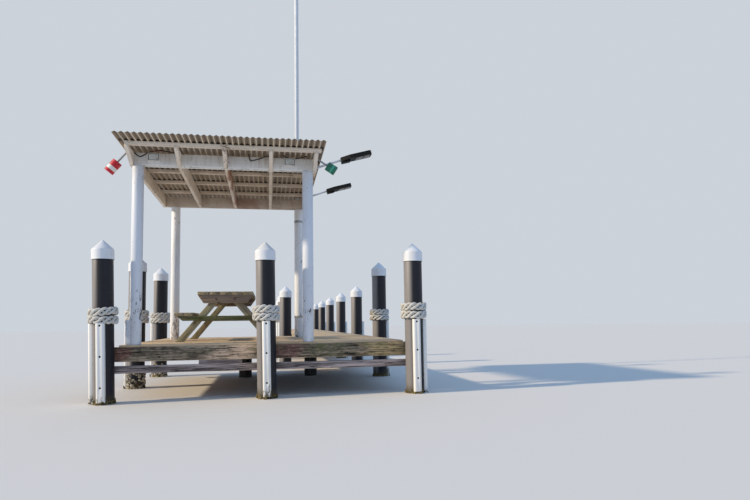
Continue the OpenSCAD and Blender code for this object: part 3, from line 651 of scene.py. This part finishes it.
def capFinish(look):
    finish = Finish("whiteCap", 0.45)
    where = finish.objectPlace()
    film = finish.cloud(where, (12, 12, 2.5), 5, 0.65)
    specks = finish.cells(where, 60).between(0.12, 0.07) * film.between(0.55, 0.7)
    colour = finish.coated(
        look["white"], (film.between(0.42, 0.75) * 0.45, look["film"]), (specks * 0.6, look["speck"]))
    return finish.show(colour, 0.38 + film * 0.2, film, 0.0015)


def makeCaps(piles, base, name, node, settings):
    whole = startPiece()
    for pile in piles:
        cap = turnedShape(settings["profile"], settings["steps"])
        addTo(whole, cap, pilePlace(pile) @ Matrix.Translation((0, 0, base)))
    markAll(whole, 5)
    finishPiece(whole, name, "cap", "cap", [node], 40)


finishes["cap"] = capFinish(capSettings)
makeCaps(frontPiles + sidePiles, capSettings["headBase"], "head_caps_moulded", "head_pile_caps", capSettings)
makeCaps(walkwayPiles, capSettings["walkwayBase"], "walkway_caps_moulded", "walkway_pile_caps", capSettings)

# Rubbing strips and the bolts in their pockets
stripSettings = dict(
    boltHeights=(0.212, 0.597, 0.982), pocketFloor=0.155, pocketDepth=0.0145, pocketRadius=0.0135,
    boltRadius=0.0085, boltHeight=0.007, washer=0.0115, edge=0.0018)


def makeStrips(node, piles, settings):
    whole = easedCopy(node, settings["edge"], 6)
    for pile in piles:
        for turn in pile[2]:
            toPile = pilePlace(pile, turn).inverted()
            for face in whole.faces:
                spot = toPile @ face.calc_center_median()
                fromBolt = max(abs(spot.y), min(abs(spot.z - height) for height in settings["boltHeights"]))
                inside = 0 < spot.x < settings["pocketFloor"] + settings["pocketDepth"]
                if inside and fromBolt < settings["pocketRadius"]:
                    face.material_index = 1
    finishPiece(whole, node + "_eased", "strip pocket", "rubbing_strip", [node])


def makeStripBolts(settings):
    whole = startPiece()
    for pile in frontPiles + sidePiles + walkwayPiles:
        heights = settings["boltHeights"] if pile not in walkwayPiles else settings["boltHeights"][:2]
        for turn in pile[2]:
            for height in heights:
                seat = Matrix.Translation((settings["pocketFloor"], 0, height)) @ rotation(90, "Y")
                bolt = makeBolt(settings["boltRadius"], settings["boltHeight"], settings["washer"])
                addTo(whole, bolt, pilePlace(pile, turn) @ seat)
    finishPiece(whole, "strip_bolts", "rusted", "clamp")


makeStrips("head_rubbing_strips", frontPiles + sidePiles, stripSettings)
makeStrips("walkway_rubbing_strips", walkwayPiles, stripSettings)
makeStripBolts(stripSettings)

# Rope lashings: two flattened bands of three laid strands on each pile. Uneven gives, for each front pile, how far its
# two bands are moved up and how much fuller they are
lashingSettings = dict(
    bandHeights=(1.0648, 1.1628), middle=0.1523, rise=0.0325, swing=0.0115, strandRadius=0.0168, strands=3,
    turns=4, stepsPerTurn=45, sides=10, wander=0.009, driftScale=1.3, bandDrift=3.1, pileDrift=1.37,
    uneven=((-0.008, -0.002, 1.06), (0.002, 0.006, 1.1), (0.014, 0.026, 1.14)), even=(0, 0, 1.04),
    yarnsAlong=620, yarnsAround=37.699, strand=(0.86, 0.81, 0.71), strandOther=(0.96, 0.93, 0.86),
    # The next two colours are painted shade: in the grooves between yarns and on the strands' inner sides
    gap=(0.16, 0.125, 0.08), innerShade=(0.045, 0.035, 0.022), fluff=(0.9, 0.87, 0.80))


def ropeFinish(look):
    finish = Finish("lashingRope", 0.2)
    along, around = finish.parts(finish.node("ShaderNodeUVMap", {"uv_map": "lay"}, {}))[:2]
    where = finish.objectPlace()
    yarns = (along * look["yarnsAlong"] + around * look["yarnsAround"]).sine().between(-0.9, 0.4)
    fluff = finish.cloud(where, 160, 3, 0.7)
    stain = finish.cloud(where, 14, 4, 0.6)
    # Painted shade: darker in the grooves between yarns, and darker where a strand lies deeper, towards the pile
    colour = finish.coated(
        look["strand"], (stain.between(0.35, 0.7), look["strandOther"]), ((1 - yarns) * 0.6, look["gap"]),
        (finish.mark("innerShade").between(0.007, -0.012) * 0.9, look["innerShade"]),
        (fluff.between(0.55, 0.75) * 0.3, look["fluff"]))
    return finish.show(colour, 0.85, yarns * 0.8 + fluff * 0.35, 0.003)


def awayFromAxis(spot):
    return Vector((spot.x, spot.y, 0)).normalized()


def makeLashing(settings, seed, uneven):
    part = startPiece()
    part.loops.layers.uv.new("lay")
    steps = settings["turns"] * settings["stepsPerTurn"]
    fuller = uneven[2]
    for band, height in enumerate(settings["bandHeights"]):
        for strand in range(settings["strands"]):
            spots, radii = [], []
            for step in range(steps):
                angle = 2 * math.pi * step / steps
                phase = settings["turns"] * angle + 2 * math.pi * strand / settings["strands"]
                drift = Vector((math.cos(angle), math.sin(angle), seed + band * settings["bandDrift"]))
                drift *= settings["driftScale"]
                out = abs(noise.noise(drift * 1.7)) * settings["wander"]
                up = noise.noise(drift) * settings["wander"] * 1.6
                reach = settings["middle"] + settings["swing"] * math.cos(phase) + out
                rise = settings["rise"] * fuller * (1 + 0.16 * noise.noise(drift * 2.3))
                lift = height + uneven[band] + up + rise * math.sin(phase)
                spots.append(Vector((reach * math.cos(angle), reach * math.sin(angle), lift)))
                radii.append(settings["strandRadius"] * fuller * (1 + 0.14 * noise.noise(drift * 4)))
            addTo(part, cordAlong(spots, radii, settings["sides"], awayFromAxis, True))
    # How far each point lies out from the strands' middle, for the painted shade on their inner sides
    innerShade = part.verts.layers.float.new("innerShade")
    for vert in part.verts:
        vert[innerShade] = math.hypot(vert.co.x, vert.co.y) - settings["middle"]
    return part


def makeLashings(piles, name, node, seed, settings):
    whole = startPiece()
    whole.loops.layers.uv.new("lay")
    whole.verts.layers.float.new("innerShade")
    for number, pile in enumerate(piles):
        uneven = settings["uneven"][number] if pile in frontPiles else settings["even"]
        addTo(whole, makeLashing(settings, seed + number * settings["pileDrift"], uneven), pilePlace(pile))
    bmesh.ops.recalc_face_normals(whole, faces=whole.faces)
    finishPiece(whole, name, "rope", "rope", [node], 80)


finishes["rope"] = ropeFinish(lashingSettings)
makeLashings(frontPiles, "front_lashings_rope", "front_rope_lashings", 0.4, lashingSettings)
makeLashings(sidePiles, "side_lashings_rope", "side_rope_lashings", 7.7, lashingSettings)

# Crusts at the foot of the piles: slime and small shells at every waterline, and oysters on the left side piles
crustSettings = dict(
    sleeveRadius=0.135, stripFace=0.171, stripHalf=0.05, low=0.004, crowdedLow=1.7, uneven=0.45, unevenScale=90,
    flat=0.55, widths=(0.8, 1.3), heights=(0.7, 1.2), tilts=(0.6, 0.4))
slimeSettings = dict(finish="slime", count=84, high=0.042, sizes=(0.008, 0.019), seed=41)
shellSettings = dict(finish="crust", count=150, high=0.26, sizes=(0.012, 0.026), seed=42)


def makeCrust(name, piles, lumps, settings):
    rng = random.Random(lumps["seed"])
    whole = startPiece()
    for pile in piles:
        for lump in range(lumps["count"]):
            turn = rng.uniform(0, 360)
            size = rng.uniform(*lumps["sizes"])
            height = settings["low"] + (lumps["high"] - settings["low"]) * rng.random() ** settings["crowdedLow"]
            radius = settings["sleeveRadius"]
            for strip in pile[2]:
                off = math.radians(turn - strip)
                if math.cos(off) > 0 and abs(math.tan(off)) * settings["stripFace"] < settings["stripHalf"]:
                    radius = settings["stripFace"] / math.cos(off)
            seat = pilePlace(pile, turn) @ Matrix.Translation((radius, 0, height))
            part = startPiece()
            bmesh.ops.create_icosphere(part, subdivisions=1, radius=size)
            away = Vector((lump, turn, lumps["seed"]))
            for vert in part.verts:
                vert.co *= 1 + settings["uneven"] * noise.noise(vert.co * settings["unevenScale"] + away)
            sides = (rng.uniform(*settings[side]) for side in ("widths", "heights"))
            shape = Matrix.Diagonal((settings["flat"], *sides, 1))
            for most, axis in zip(settings["tilts"], "XY"):
                seat = seat @ Matrix.Rotation(rng.uniform(-most, most), 4, axis)
            addTo(whole, part, seat @ shape)
    # Cut level at the waterline, as the piles are
    cut = bmesh.ops.bisect_plane(
        whole, geom=whole.verts[:] + whole.edges[:] + whole.faces[:], plane_co=(0, 0, 0), plane_no=(0, 0, -1),
        clear_outer=True)
    bmesh.ops.holes_fill(whole, edges=[edge for edge in cut["geom_cut"] if isinstance(edge, bmesh.types.BMEdge)])
    finishPiece(whole, name, lumps["finish"], "pile_sleeve", (), 80)


makeCrust("waterline_slime", frontPiles + sidePiles + walkwayPiles, slimeSettings, crustSettings)
makeCrust("oyster_crusts", sidePiles[:2], shellSettings, crustSettings)

# Timbers of the front and of the frame below the decks
for node, finishName, slotName, edgeSize in (
        ("front_beam", "frontBeam", "front_timber", 0.006), ("front_rail", "rail", "front_timber", 0.005),
        ("rail_packer", "rail", "front_timber", 0.004), ("head_side_beams", "frame", "frame_timber", 0.005),
        ("head_rear_beam", "frame", "frame_timber", 0.005), ("head_joists", "frame", "frame_timber", 0.003),
        ("head_bearer", "frame", "frame_timber", 0.005), ("walkway_bearers", "frame", "frame_timber", 0.005),
        ("walkway_beams", "frame", "frame_timber", 0.004)):
    finishPiece(easedCopy(node, edgeSize, 8), node + "_sawn", finishName, slotName, [node])

# Deck boards, laid across, with a pair of screws over every joist
deckSettings = dict(
    boardWidth=0.140, gap=0.005, edge=0.004, shy=0.006, worn=0.002, screwIn=0.032, screwRadius=0.0055,
    screwAside=0.006, screwAlong=0.004, screwProud=0.0002)


def layDeck(low, high, joists, name, node, settings, seed):
    rng = random.Random(seed)
    whole, screws = startPiece(), startPiece()
    gap, screwIn, aside, along = (settings[size] for size in ("gap", "screwIn", "screwAside", "screwAlong"))
    count = round((high.y - low.y + gap) / (settings["boardWidth"] + gap))
    pitch = (high.y - low.y + gap) / count
    for number in range(count):
        front = low.y + pitch * number
        ends = [rng.uniform(0, settings["shy"]) for end in range(2)]
        top = high.z - rng.uniform(0, settings["worn"])
        addBoard(
            whole, (low.x + ends[0], front, low.z), (high.x - ends[1], front + pitch - gap, top), settings["edge"],
            rng.random())
        for joist in joists:
            for across in (screwIn, pitch - gap - screwIn):
                x, y = joist + rng.uniform(-aside, aside), front + across + rng.uniform(-along, along)
                seat = Matrix.Translation((x, y, top + settings["screwProud"]))
                addTo(screws, makeScrew(settings["screwRadius"]), seat)
    finishPiece(whole, name, "deck", "deck_boards", [node])
    finishPiece(screws, name + "_screws", "rusted", "clamp")


# Where the timbers of a node run, seen along the walkway
def middles(node):
    whole = easedCopy(node, 0, 0)
    places = sorted(sum(vert.co.x for vert in group) / len(group) for group in islands(whole))
    whole.free()
    return places


headJoists = middles("head_joists") + middles("head_side_beams")
layDeck(*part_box("head_deck"), headJoists, "head_deck_boards", "head_deck", deckSettings, 11)
layDeck(*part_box("walkway_deck"), middles("walkway_beams"), "walkway_deck_boards", "walkway_deck", deckSettings, 12)

# Shelter posts and roof frame
# The rear posts' finish is a paler copy of the front posts' paint: painted light
for node, finishName in (
        ("front_left_post", "post"), ("front_right_post", "post"), ("rear_left_post", "rearPostLit"),
        ("rear_right_post", "rearPostLit")):
    finishPiece(easedCopy(node, 0.003, 13), node + "_painted", finishName, "painted_post", [node])
for node, finishName, slotName in (
        ("front_roof_beam", "roof", "painted_roof_timber"), ("rear_roof_beam", "rearRoof", "painted_roof_timber"),
        ("outer_rafters", "wornRoof", "painted_roof_timber"), ("inner_rafters", "rafter", "bare_roof_timber"),
        ("roof_purlins", "wornRoof", "bare_roof_timber")):
    timber = easedCopy(node, 0.003, 14, turned=roofPlace.inverted())
    finishPiece(timber, node + "_planed", finishName, slotName, [node])

# Roof sheets: four corrugated lengths side by side, each lapped over the next
sheetSettings = dict(
    left=-1.89, wave=0.076, depth=0.017, foot=0.233, front=-0.635, rear=3.019, thick=0.0012, waves=(9, 9, 9, 8),
    lap=1, stepsPerWave=12, rows=24, sag=0.0015, lifts=(0.0004, 0.0018), zinc=(0.30, 0.27, 0.23),
    zincPale=(0.44, 0.40, 0.34), zincOther=(0.36, 0.34, 0.31), trough=(0.17, 0.14, 0.11), rust=(0.10, 0.052, 0.028),
    # Below, the rib colour is a painted highlight, and the valley and purlin gap colours are painted shade
    rustPale=(0.25, 0.15, 0.09), under=(0.19, 0.14, 0.095), underPale=(0.43, 0.335, 0.235), rib=(0.92, 0.82, 0.66),
    valleyShade=(0.09, 0.068, 0.05), purlinGapShade=(0.012, 0.010, 0.009), gapFirst=-0.1256, gapStep=0.6287, calm=(0.08, 0.3))


# Corrugated steel: rusty above. Below, pale along the ribs that rest on the purlins as a painted highlight, with
# painted shade in the valleys and in the gaps over the purlins. Behind the front roof beam the stripes are calmer
def roofSheetFinish(look):
    finish = Finish("corrugatedSheet")
    where = finish.objectPlace()
    tone, below = finish.mark("tone"), finish.mark("below")
    x, y = finish.parts(where)[:2]
    spangle = finish.cells(where, 45, "Color")
    runs = finish.cloud(where, (26, 1.3, 26), 5, 0.65)
    broad = finish.cloud(where, 2.2, 5, 0.6)
    rusted = (runs * 0.6 + broad * 0.5).between(0.56, 0.68)
    rib = ((x - look["left"]) * (2 * math.pi / look["wave"]) + math.pi / 2).sine()
    stripe = rib + (runs - 0.5) * 0.4
    calm = y.between(*look["calm"])
    fromPurlin = abs((y - look["gapFirst"] + look["gapStep"] / 2) % look["gapStep"] - look["gapStep"] / 2)
    above = finish.coated(
        finish.blend(0.1, finish.blend(broad, look["zinc"], look["zincPale"]), spangle, "OVERLAY"),
        (tone * 0.3, look["zincOther"]), ((1 - below) * rib.between(0.3, 0.95) * 0.45, look["trough"]))
    under = finish.coated(
        finish.blend(runs, look["under"], look["underPale"]),
        # Painted highlight along the ribs' lowest lines, then painted shade in the valleys and in the gaps over the
        # purlins
        (stripe.between(0.80, 1.0) * (1 - calm * 0.5), look["rib"]),
        (stripe.between(-0.1, -0.95) * (0.6 - calm * 0.35), look["valleyShade"]),
        (fromPurlin.between(0.058, 0.044) * rib.between(0.7, 0.2), look["purlinGapShade"]))
    colour = finish.coated(
        above, (below, under), (rusted * (0.55 - below * 0.3), finish.blend(runs, look["rust"], look["rustPale"])))
    metallic = (1 - rusted) * (1 - below) * 0.25
    return finish.show(colour, 0.5 + broad * 0.2 + rusted * 0.2, runs * 0.4 + rusted * 0.5, 0.0015, metallic)


def waveHeight(x, settings):
    return settings["depth"] / 2 * (1 - math.cos(2 * math.pi * (x - settings["left"]) / settings["wave"]))


def makeRoofSheets(settings):
    whole = startPiece()
    rng = random.Random(21)
    start = settings["left"]
    length = settings["rear"] - settings["front"]
    for number, waves in enumerate(settings["waves"]):
        covered = waves + (settings["lap"] if number < len(settings["waves"]) - 1 else 0)
        part = startPiece()
        bmesh.ops.create_grid(
            part, x_segments=covered * settings["stepsPerWave"], y_segments=settings["rows"], size=0.5)
        tone = part.verts.layers.float["tone"]
        shade = rng.random()
        foot = settings["foot"] + settings["lifts"][number % 2]
        for vert in part.verts:
            x = start + (vert.co.x + 0.5) * covered * settings["wave"]
            y = settings["front"] + (vert.co.y + 0.5) * length
            bow = settings["sag"] * noise.noise(Vector((x * 3, y * 2, number)))
            vert.co = Vector((x, y, foot + abs(bow) + waveHeight(x, settings)))
            vert[tone] = shade
        bmesh.ops.recalc_face_normals(part, faces=part.faces)
        bmesh.ops.solidify(part, geom=part.faces[:], thickness=settings["thick"])
        bmesh.ops.recalc_face_normals(part, faces=part.faces)
        addTo(whole, part, roofPlace)
        start += waves * settings["wave"]
    below = whole.verts.layers.float.new("below")
    whole.normal_update()
    for vert in whole.verts:
        vert[below] = 1 if vert.normal.z < 0 else 0
    finishPiece(whole, "roof_sheets_corrugated", "sheet", "roof_sheet", ["roof_sheet"], 50)


finishes["sheet"] = roofSheetFinish(sheetSettings)
makeRoofSheets(sheetSettings)

# Screws with washers, on every third crest over each purlin
sheetScrewSettings = dict(
    firstPurlin=-0.345, purlinStep=0.6288, purlinHalf=0.035, purlins=6, every=3, radius=0.0055, height=0.005,
    washer=0.0115, proud=0.004)


def makeSheetScrews(settings, sheet):
    whole = startPiece()
    crest = sheet["foot"] + sheet["depth"] + settings["proud"]
    for purlin in range(settings["purlins"]):
        y = settings["firstPurlin"] + settings["purlinStep"] * purlin + settings["purlinHalf"]
        for wave in range(1, sum(sheet["waves"]), settings["every"]):
            x = sheet["left"] + (wave + 0.5) * sheet["wave"]
            bolt = makeBolt(settings["radius"], settings["height"], settings["washer"])
            addTo(whole, bolt, roofPlace @ Matrix.Translation((x, y, crest)))
    finishPiece(whole, "roof_sheet_screws", "galvanised", "clamp")


makeSheetScrews(sheetScrewSettings, sheetSettings)

# Junction boxes on the front roof beam, each with a lid in a groove
boxSettings = dict(
    places=(-1.50, 0.31), width=0.150, height=0.105, depth=0.045, foot=0.068, lip=0.006, corner=0.01,
    grooveWidth=0.005, grooveDepth=0.006, lidSlope=0.0035, lidRise=0.004, edge=0.0008)


def makeJunctionBoxes(settings):
    whole = startPiece()
    for x in settings["places"]:
        part = sawnBlock((settings["width"], settings["depth"], settings["height"]))
        corners = [edge for edge in part.edges if abs(edge.verts[0].co.y - edge.verts[1].co.y) > 0.01]
        easeEdges(part, corners, settings["corner"], 4)
        front = min(part.faces, key=lambda face: face.calc_center_median().y)
        bmesh.ops.inset_region(part, faces=[front], thickness=settings["lip"], depth=0)
        # The groove round the lid and the lid's sloping rim are near black: a joint, darkened further as painted shade
        for thickness, depth in (
                (settings["grooveWidth"], -settings["grooveDepth"]), (settings["lidSlope"], settings["lidRise"])):
            for face in bmesh.ops.inset_region(part, faces=[front], thickness=thickness, depth=depth)["faces"]:
                face.material_index = 1
        front.material_index = 2
        easeEdges(part, [edge for edge in part.edges if edge.calc_face_angle(0) > 0.9], settings["edge"], 1)
        middle = (x, -settings["depth"] / 2, settings["foot"] + settings["height"] / 2)
        addTo(whole, part, roofPlace @ Matrix.Translation(middle))
    finishPiece(whole, "junction_boxes_moulded", "box boxJoint boxLid", "junction_box", ["junction_boxes"])


makeJunctionBoxes(boxSettings)

# Cables along the front roof beam. A route starts beside a rafter, and its spots are shares of the way to the next one
# and millimetres above the beam's top. The first cable is rusty along its middle
cableSettings = dict(
    radius=0.0074, sides=10, clear=0.56, seat=-0.0052, beamTop=0.185, stepsBetween=7, dark=(0.014, 0.011, 0.010),
    pale=(0.045, 0.035, 0.03), rust=(0.07, 0.014, 0.010), rustPale=(0.18, 0.038, 0.024), rustMiddle=-1.49,
    rustEdge=(0.14, 0.08), routes=(
        (-1.755, (
            (0.01, -8), (0.04, -22), (0.09, -46), (0.14, -57), (0.2, -42), (0.26, -20), (0.32, 4), (0.45, 26),
            (0.6, 36), (0.78, 24), (0.92, 16), (0.99, 15))),
        (-0.535, (
            (0.505, 36), (0.51, 10), (0.52, -22), (0.545, -50), (0.58, -57), (0.68, -41), (0.8, -18), (0.9, 8),
            (0.99, 22))),
        (0.075, ((0.25, 36), (0.3, 18), (0.37, 4), (0.44, -3), (0.55, -3), (0.65, 6), (0.75, 22), (0.84, 36)))))


def cableFinish(look):
    finish = Finish("cableSheath", 0.3)
    where = finish.objectPlace()
    x = finish.parts(where)[0]
    film = finish.cloud(where, 24, 5, 0.65)
    rusty = (abs(x - look["rustMiddle"]) + (film - 0.5) * 0.08).between(*look["rustEdge"])
    sheath = finish.blend(film, look["dark"], look["pale"])
    colour = finish.blend(rusty, sheath, finish.blend(film, look["rust"], look["rustPale"]))
    return finish.show(colour, 0.5 + film * 0.2, film, 0.0006)


def towardsFront(spot):
    return Vector((0, -1, 0))


def smoothPath(spots, steps):
    path = []
    for number in range(len(spots) - 1):
        before, start, end, after = (spots[max(0, min(number + shift, len(spots) - 1))] for shift in (-1, 0, 1, 2))
        for step in range(steps):
            share = step / steps
            path.append(0.5 * (
                2 * start + (end - before) * share + (2 * before - 5 * start + 4 * end - after) * share ** 2
                + (3 * start - before - 3 * end + after) * share ** 3))
    return path + [spots[-1]]


def makeCables(settings):
    whole = startPiece()
    whole.loops.layers.uv.new("lay")
    for left, route in settings["routes"]:
        spots = [
            Vector((left + share * settings["clear"], settings["seat"], settings["beamTop"] + height / 1000))
            for share, height in route]
        path = smoothPath(spots, settings["stepsBetween"])
        cable = cordAlong(path, [settings["radius"]] * len(path), settings["sides"], towardsFront)
        addTo(whole, cable, roofPlace)
    finishPiece(whole, "beam_cables_round", "cable", "cable", ["beam_cables"], 80)


finishes["cable"] = cableFinish(cableSettings)
makeCables(cableSettings)

# Flagpole with its bands, and flood lamps on their arms
for node, edgeSize, seed, segments, name, finishName, slotName in (
        ("flagpole", 0.002, 15, 2, "flagpole_painted", "pole", "flagpole"),
        ("flagpole_clamps", 0.0008, 16, 1, "flagpole_bands", "galvanised", "clamp"),
        ("lamp_arms", 0.002, 17, 2, "lamp_arms_painted", "arm", "lamp_arm"),
        ("lamp_heads", 0.009, 18, 4, "lamp_heads_cast", "head", "lamp_head")):
    finishPiece(easedCopy(node, edgeSize, seed, segments), name, finishName, slotName, [node])

# Lens panels of the flood lamps
lensSettings = dict(
    feet=((0.685, 0.025, 0.066), (0.685, 2.065, 0.130)), armRise=20, headRise=15, armLength=0.3767, headFoot=-0.028,
    panels=((0.215, 0.315), (0.325, 0.425)), halfWidth=0.066, thick=0.004, sunk=0.002, edge=0.0018)


def makeLenses(settings):
    whole = startPiece()
    for foot in settings["feet"]:
        arm = Matrix.Translation(foot) @ rotation(-settings["armRise"], "Y")
        bend = rotation(settings["armRise"] - settings["headRise"], "Y")
        head = arm @ Matrix.Translation((settings["armLength"], 0, 0)) @ bend
        for near, far in settings["panels"]:
            low = (near, -settings["halfWidth"], settings["headFoot"] - settings["thick"])
            high = (far, settings["halfWidth"], settings["headFoot"] + settings["sunk"])
            addBoard(whole, low, high, settings["edge"], 0.5, roofPlace @ head)
    finishPiece(whole, "lamp_lenses", "lens", "lamp_head")


makeLenses(lensSettings)

# Marker lamps: a grey stem, and a coloured drum with a band of another colour. Drum and band are given by the way from
# the foot along the stem
redSettings = dict(
    edge=0.004, foot=(-1.805, 3.246), axis=(-0.629, -0.777), drum=0.178, band=(0.262, 0.312),
    lens=(0.62, 0.008, 0.022), lensOther=(0.42, 0.015, 0.025), bandColour=(0.80, 0.78, 0.70),
    stem=(0.20, 0.19, 0.18), stemPale=(0.34, 0.33, 0.31))
greenSettings = dict(
    redSettings, foot=(0.685, 3.246), axis=(0.839, -0.545), drum=0.160, band=(0.228, 0.258), lens=(0.012, 0.17, 0.10),
    lensOther=(0.006, 0.08, 0.05), bandColour=(0.05, 0.36, 0.23))


def markerFinish(name, look):
    finish = Finish(name)
    where = finish.objectPlace()
    x, z = finish.parts(where)[::2]
    film = finish.cloud(where, 18, 5, 0.65)
    along = (x - look["foot"][0]) * look["axis"][0] + (z - look["foot"][1]) * look["axis"][1]
    near, far = look["band"]
    band = abs(along - (near + far) / 2).between((far - near) / 2 + 0.001, (far - near) / 2 - 0.001)
    stem = along.between(look["drum"] + 0.002, look["drum"] - 0.002)
    colour = finish.coated(
        look["lens"], (film.between(0.42, 0.72) * 0.7, look["lensOther"]), (band, look["bandColour"]),
        (stem, finish.blend(film, look["stem"], look["stemPale"])))
    ribs = (along * 900).sine() * (1 - stem) * (1 - band)
    return finish.show(colour, 0.3 + film * 0.25, ribs * 0.5 + film * 0.4, 0.0008)


for colour, seed, look in (("red", 19, redSettings), ("green", 20, greenSettings)):
    finishes[colour] = markerFinish(colour + "Marker", look)
    node = colour + "_marker_lamp"
    finishPiece(easedCopy(node, look["edge"], seed), colour + "_marker_moulded", colour, colour + "_marker", [node])

# Table: boards along its length, on the CAD's end frames
tableSettings = dict(
    topBoards=5, benchBoards=2, benchWidth=0.27, gap=0.006, shy=0.006, edge=0.004, middle=(-0.61, 1.84), foot=0.725,
    endPlane=0.83, thick=0.045, legHeight=0.688, legWidth=0.125, legFoot=0.6575, legTop=0.0825,
    topRail=(0.566, 0.688, 0.4), benchRail=(0.310, 0.380, 0.695), slopeIn=0.085, boltRadius=0.009, boltHeight=0.006,
    washer=0.0153)


def layBoardsAlong(whole, low, high, count, settings, rng):
    pitch = (high.x - low.x + settings["gap"]) / count
    for number in range(count):
        left = low.x + pitch * number
        ends = [rng.uniform(0, settings["shy"]) for end in range(2)]
        addBoard(
            whole, (left, low.y + ends[0], low.z), (left + pitch - settings["gap"], high.y - ends[1], high.z),
            settings["edge"], rng.random())


# One sloping leg, as wide at its ends as between them, with the grain along it
def addLeg(whole, settings, turn, across, lean, tone):
    part = sawnBlock((settings["legWidth"], settings["thick"], settings["legHeight"]))
    slope = Matrix(((1, 0, lean, 0), (0, 1, 0, 0), (0, 0, 1, 0), (0, 0, 0, 1)))
    bmesh.ops.transform(part, matrix=slope, verts=part.verts)
    easeEdges(part, part.edges[:], settings["edge"])
    markTimber(part, part.verts[:], tone, Matrix.Rotation(-math.atan(lean), 4, "Y"))
    middle = Matrix.Translation(((settings["legTop"] + settings["legFoot"]) / 2, 0, settings["legHeight"] / 2))
    foot = Matrix.Translation((settings["middle"][0], across, settings["foot"]))
    addTo(whole, part, foot @ rotation(turn, "Z") @ middle)


# A rail whose ends slope in towards its underside
def addRail(whole, settings, rail, across, finishIndex, tone):
    low, high, half = rail
    part = sawnBlock((half * 2, settings["thick"], high - low))
    lower = [vert for vert in part.verts if vert.co.z < 0]
    bmesh.ops.scale(part, vec=(1 - settings["slopeIn"] / half, 1, 1), verts=lower)
    easeEdges(part, part.edges[:], settings["edge"])
    for face in part.faces:
        face.material_index = finishIndex
    markTimber(part, part.verts[:], tone)
    addTo(whole, part, Matrix.Translation((settings["middle"][0], across, settings["foot"] + (low + high) / 2)))


def makeTableFrames(settings, rng):
    whole, bolts = startPiece(), startPiece()
    lean = (settings["legTop"] - settings["legFoot"]) / settings["legHeight"]
    middleX, middleY = settings["middle"]
    endPlane, thick = settings["endPlane"], settings["thick"]
    for end in (-1, 1):
        for turn in (0, 180):
            addLeg(whole, settings, turn, middleY + end * (endPlane - thick / 2), lean, rng.random())
        for finishIndex, rail in ((1, settings["topRail"]), (2, settings["benchRail"])):
            addRail(whole, settings, rail, middleY + end * (endPlane + thick / 2), finishIndex, rng.random())
            height = (rail[0] + rail[1]) / 2
            for side in (-1, 1):
                x, y = middleX + side * (settings["legFoot"] + lean * height), middleY + end * (endPlane + thick)
                seat = Matrix.Translation((x, y, settings["foot"] + height)) @ rotation(-90 * end, "X")
                addTo(bolts, makeBolt(settings["boltRadius"], settings["boltHeight"], settings["washer"]), seat)
    finishPiece(whole, "table_frames_sawn", "table tableRail tableMossy", "table_timber", ["table_frames"])
    finishPiece(bolts, "table_bolts", "rusted", "clamp")


def makeTable(settings):
    rng = random.Random(31)
    top, benches = startPiece(), startPiece()
    layBoardsAlong(top, *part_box("table_top"), settings["topBoards"], settings, rng)
    finishPiece(top, "table_top_boards", "table", "table_timber", ["table_top"])
    low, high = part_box("table_benches")
    width = settings["benchWidth"]
    for left in (low.x, high.x - width):
        near, far = Vector((left, low.y, low.z)), Vector((left + width, high.y, high.z))
        layBoardsAlong(benches, near, far, settings["benchBoards"], settings, rng)
    finishPiece(benches, "table_bench_boards", "table", "table_timber", ["table_benches"])
    makeTableFrames(settings, rng)


makeTable(tableSettings)

# Studio: pale floor, a broad key light from the left, and pale surroundings
stageSettings = dict(
    floorRadius=110, floorColour=(0.80, 0.735, 0.65), sunStrength=3.25, sunColour=(1, 0.86, 0.64), sunAngle=2.5,
    sunFrom=(-0.881, -0.132, 0.454), skyLight=(0.35, 0.555, 0.92), skyStrength=0.80, backdrop=(0.60, 0.645, 0.70))


def makeFloor(settings):
    whole = startPiece()
    bmesh.ops.create_circle(whole, cap_ends=True, radius=settings["floorRadius"], segments=128)
    mesh = bpy.data.meshes.new("floor")
    whole.to_mesh(mesh)
    whole.free()
    floor = bpy.data.objects.new("floor", mesh)
    bpy.context.scene.collection.objects.link(floor)
    finish = Finish("floorFinish", 0.1)
    mottle = finish.cloud(finish.objectPlace(), 0.7, 4, 0.5)
    colour = finish.blend(mottle * 0.2, settings["floorColour"], darker(settings["floorColour"], 0.95))
    mesh.materials.append(finish.show(colour, 0.9 + mottle * 0.05))


def makeLight(settings):
    lamp = bpy.data.lights.new("key", "SUN")
    lamp.energy = settings["sunStrength"]
    lamp.angle = math.radians(settings["sunAngle"])
    lamp.color = settings["sunColour"]
    key = bpy.data.objects.new("key", lamp)
    key.matrix_world = Vector(settings["sunFrom"]).to_track_quat("Z", "Y").to_matrix().to_4x4()
    bpy.context.scene.collection.objects.link(key)
    sky = Sky("studio")
    rays = ("Is Camera Ray", "Is Glossy Ray", "Is Transmission Ray")
    camera, glossy, through = (sky.node("ShaderNodeLightPath", {}, {}, ray) for ray in rays)
    light = sky.node("ShaderNodeBackground", {}, {"Color": settings["skyLight"], "Strength": settings["skyStrength"]})
    back = sky.node("ShaderNodeBackground", {}, {"Color": settings["backdrop"]})
    shown = sky.node("ShaderNodeMixShader", {}, [camera.highest(glossy).highest(through), light, back])
    sky.node("ShaderNodeOutputWorld", {}, {"Surface": shown}, None)


makeFloor(stageSettings)
makeLight(stageSettings)
bpy.context.scene.view_settings.view_transform = "Standard"
print("stage set")
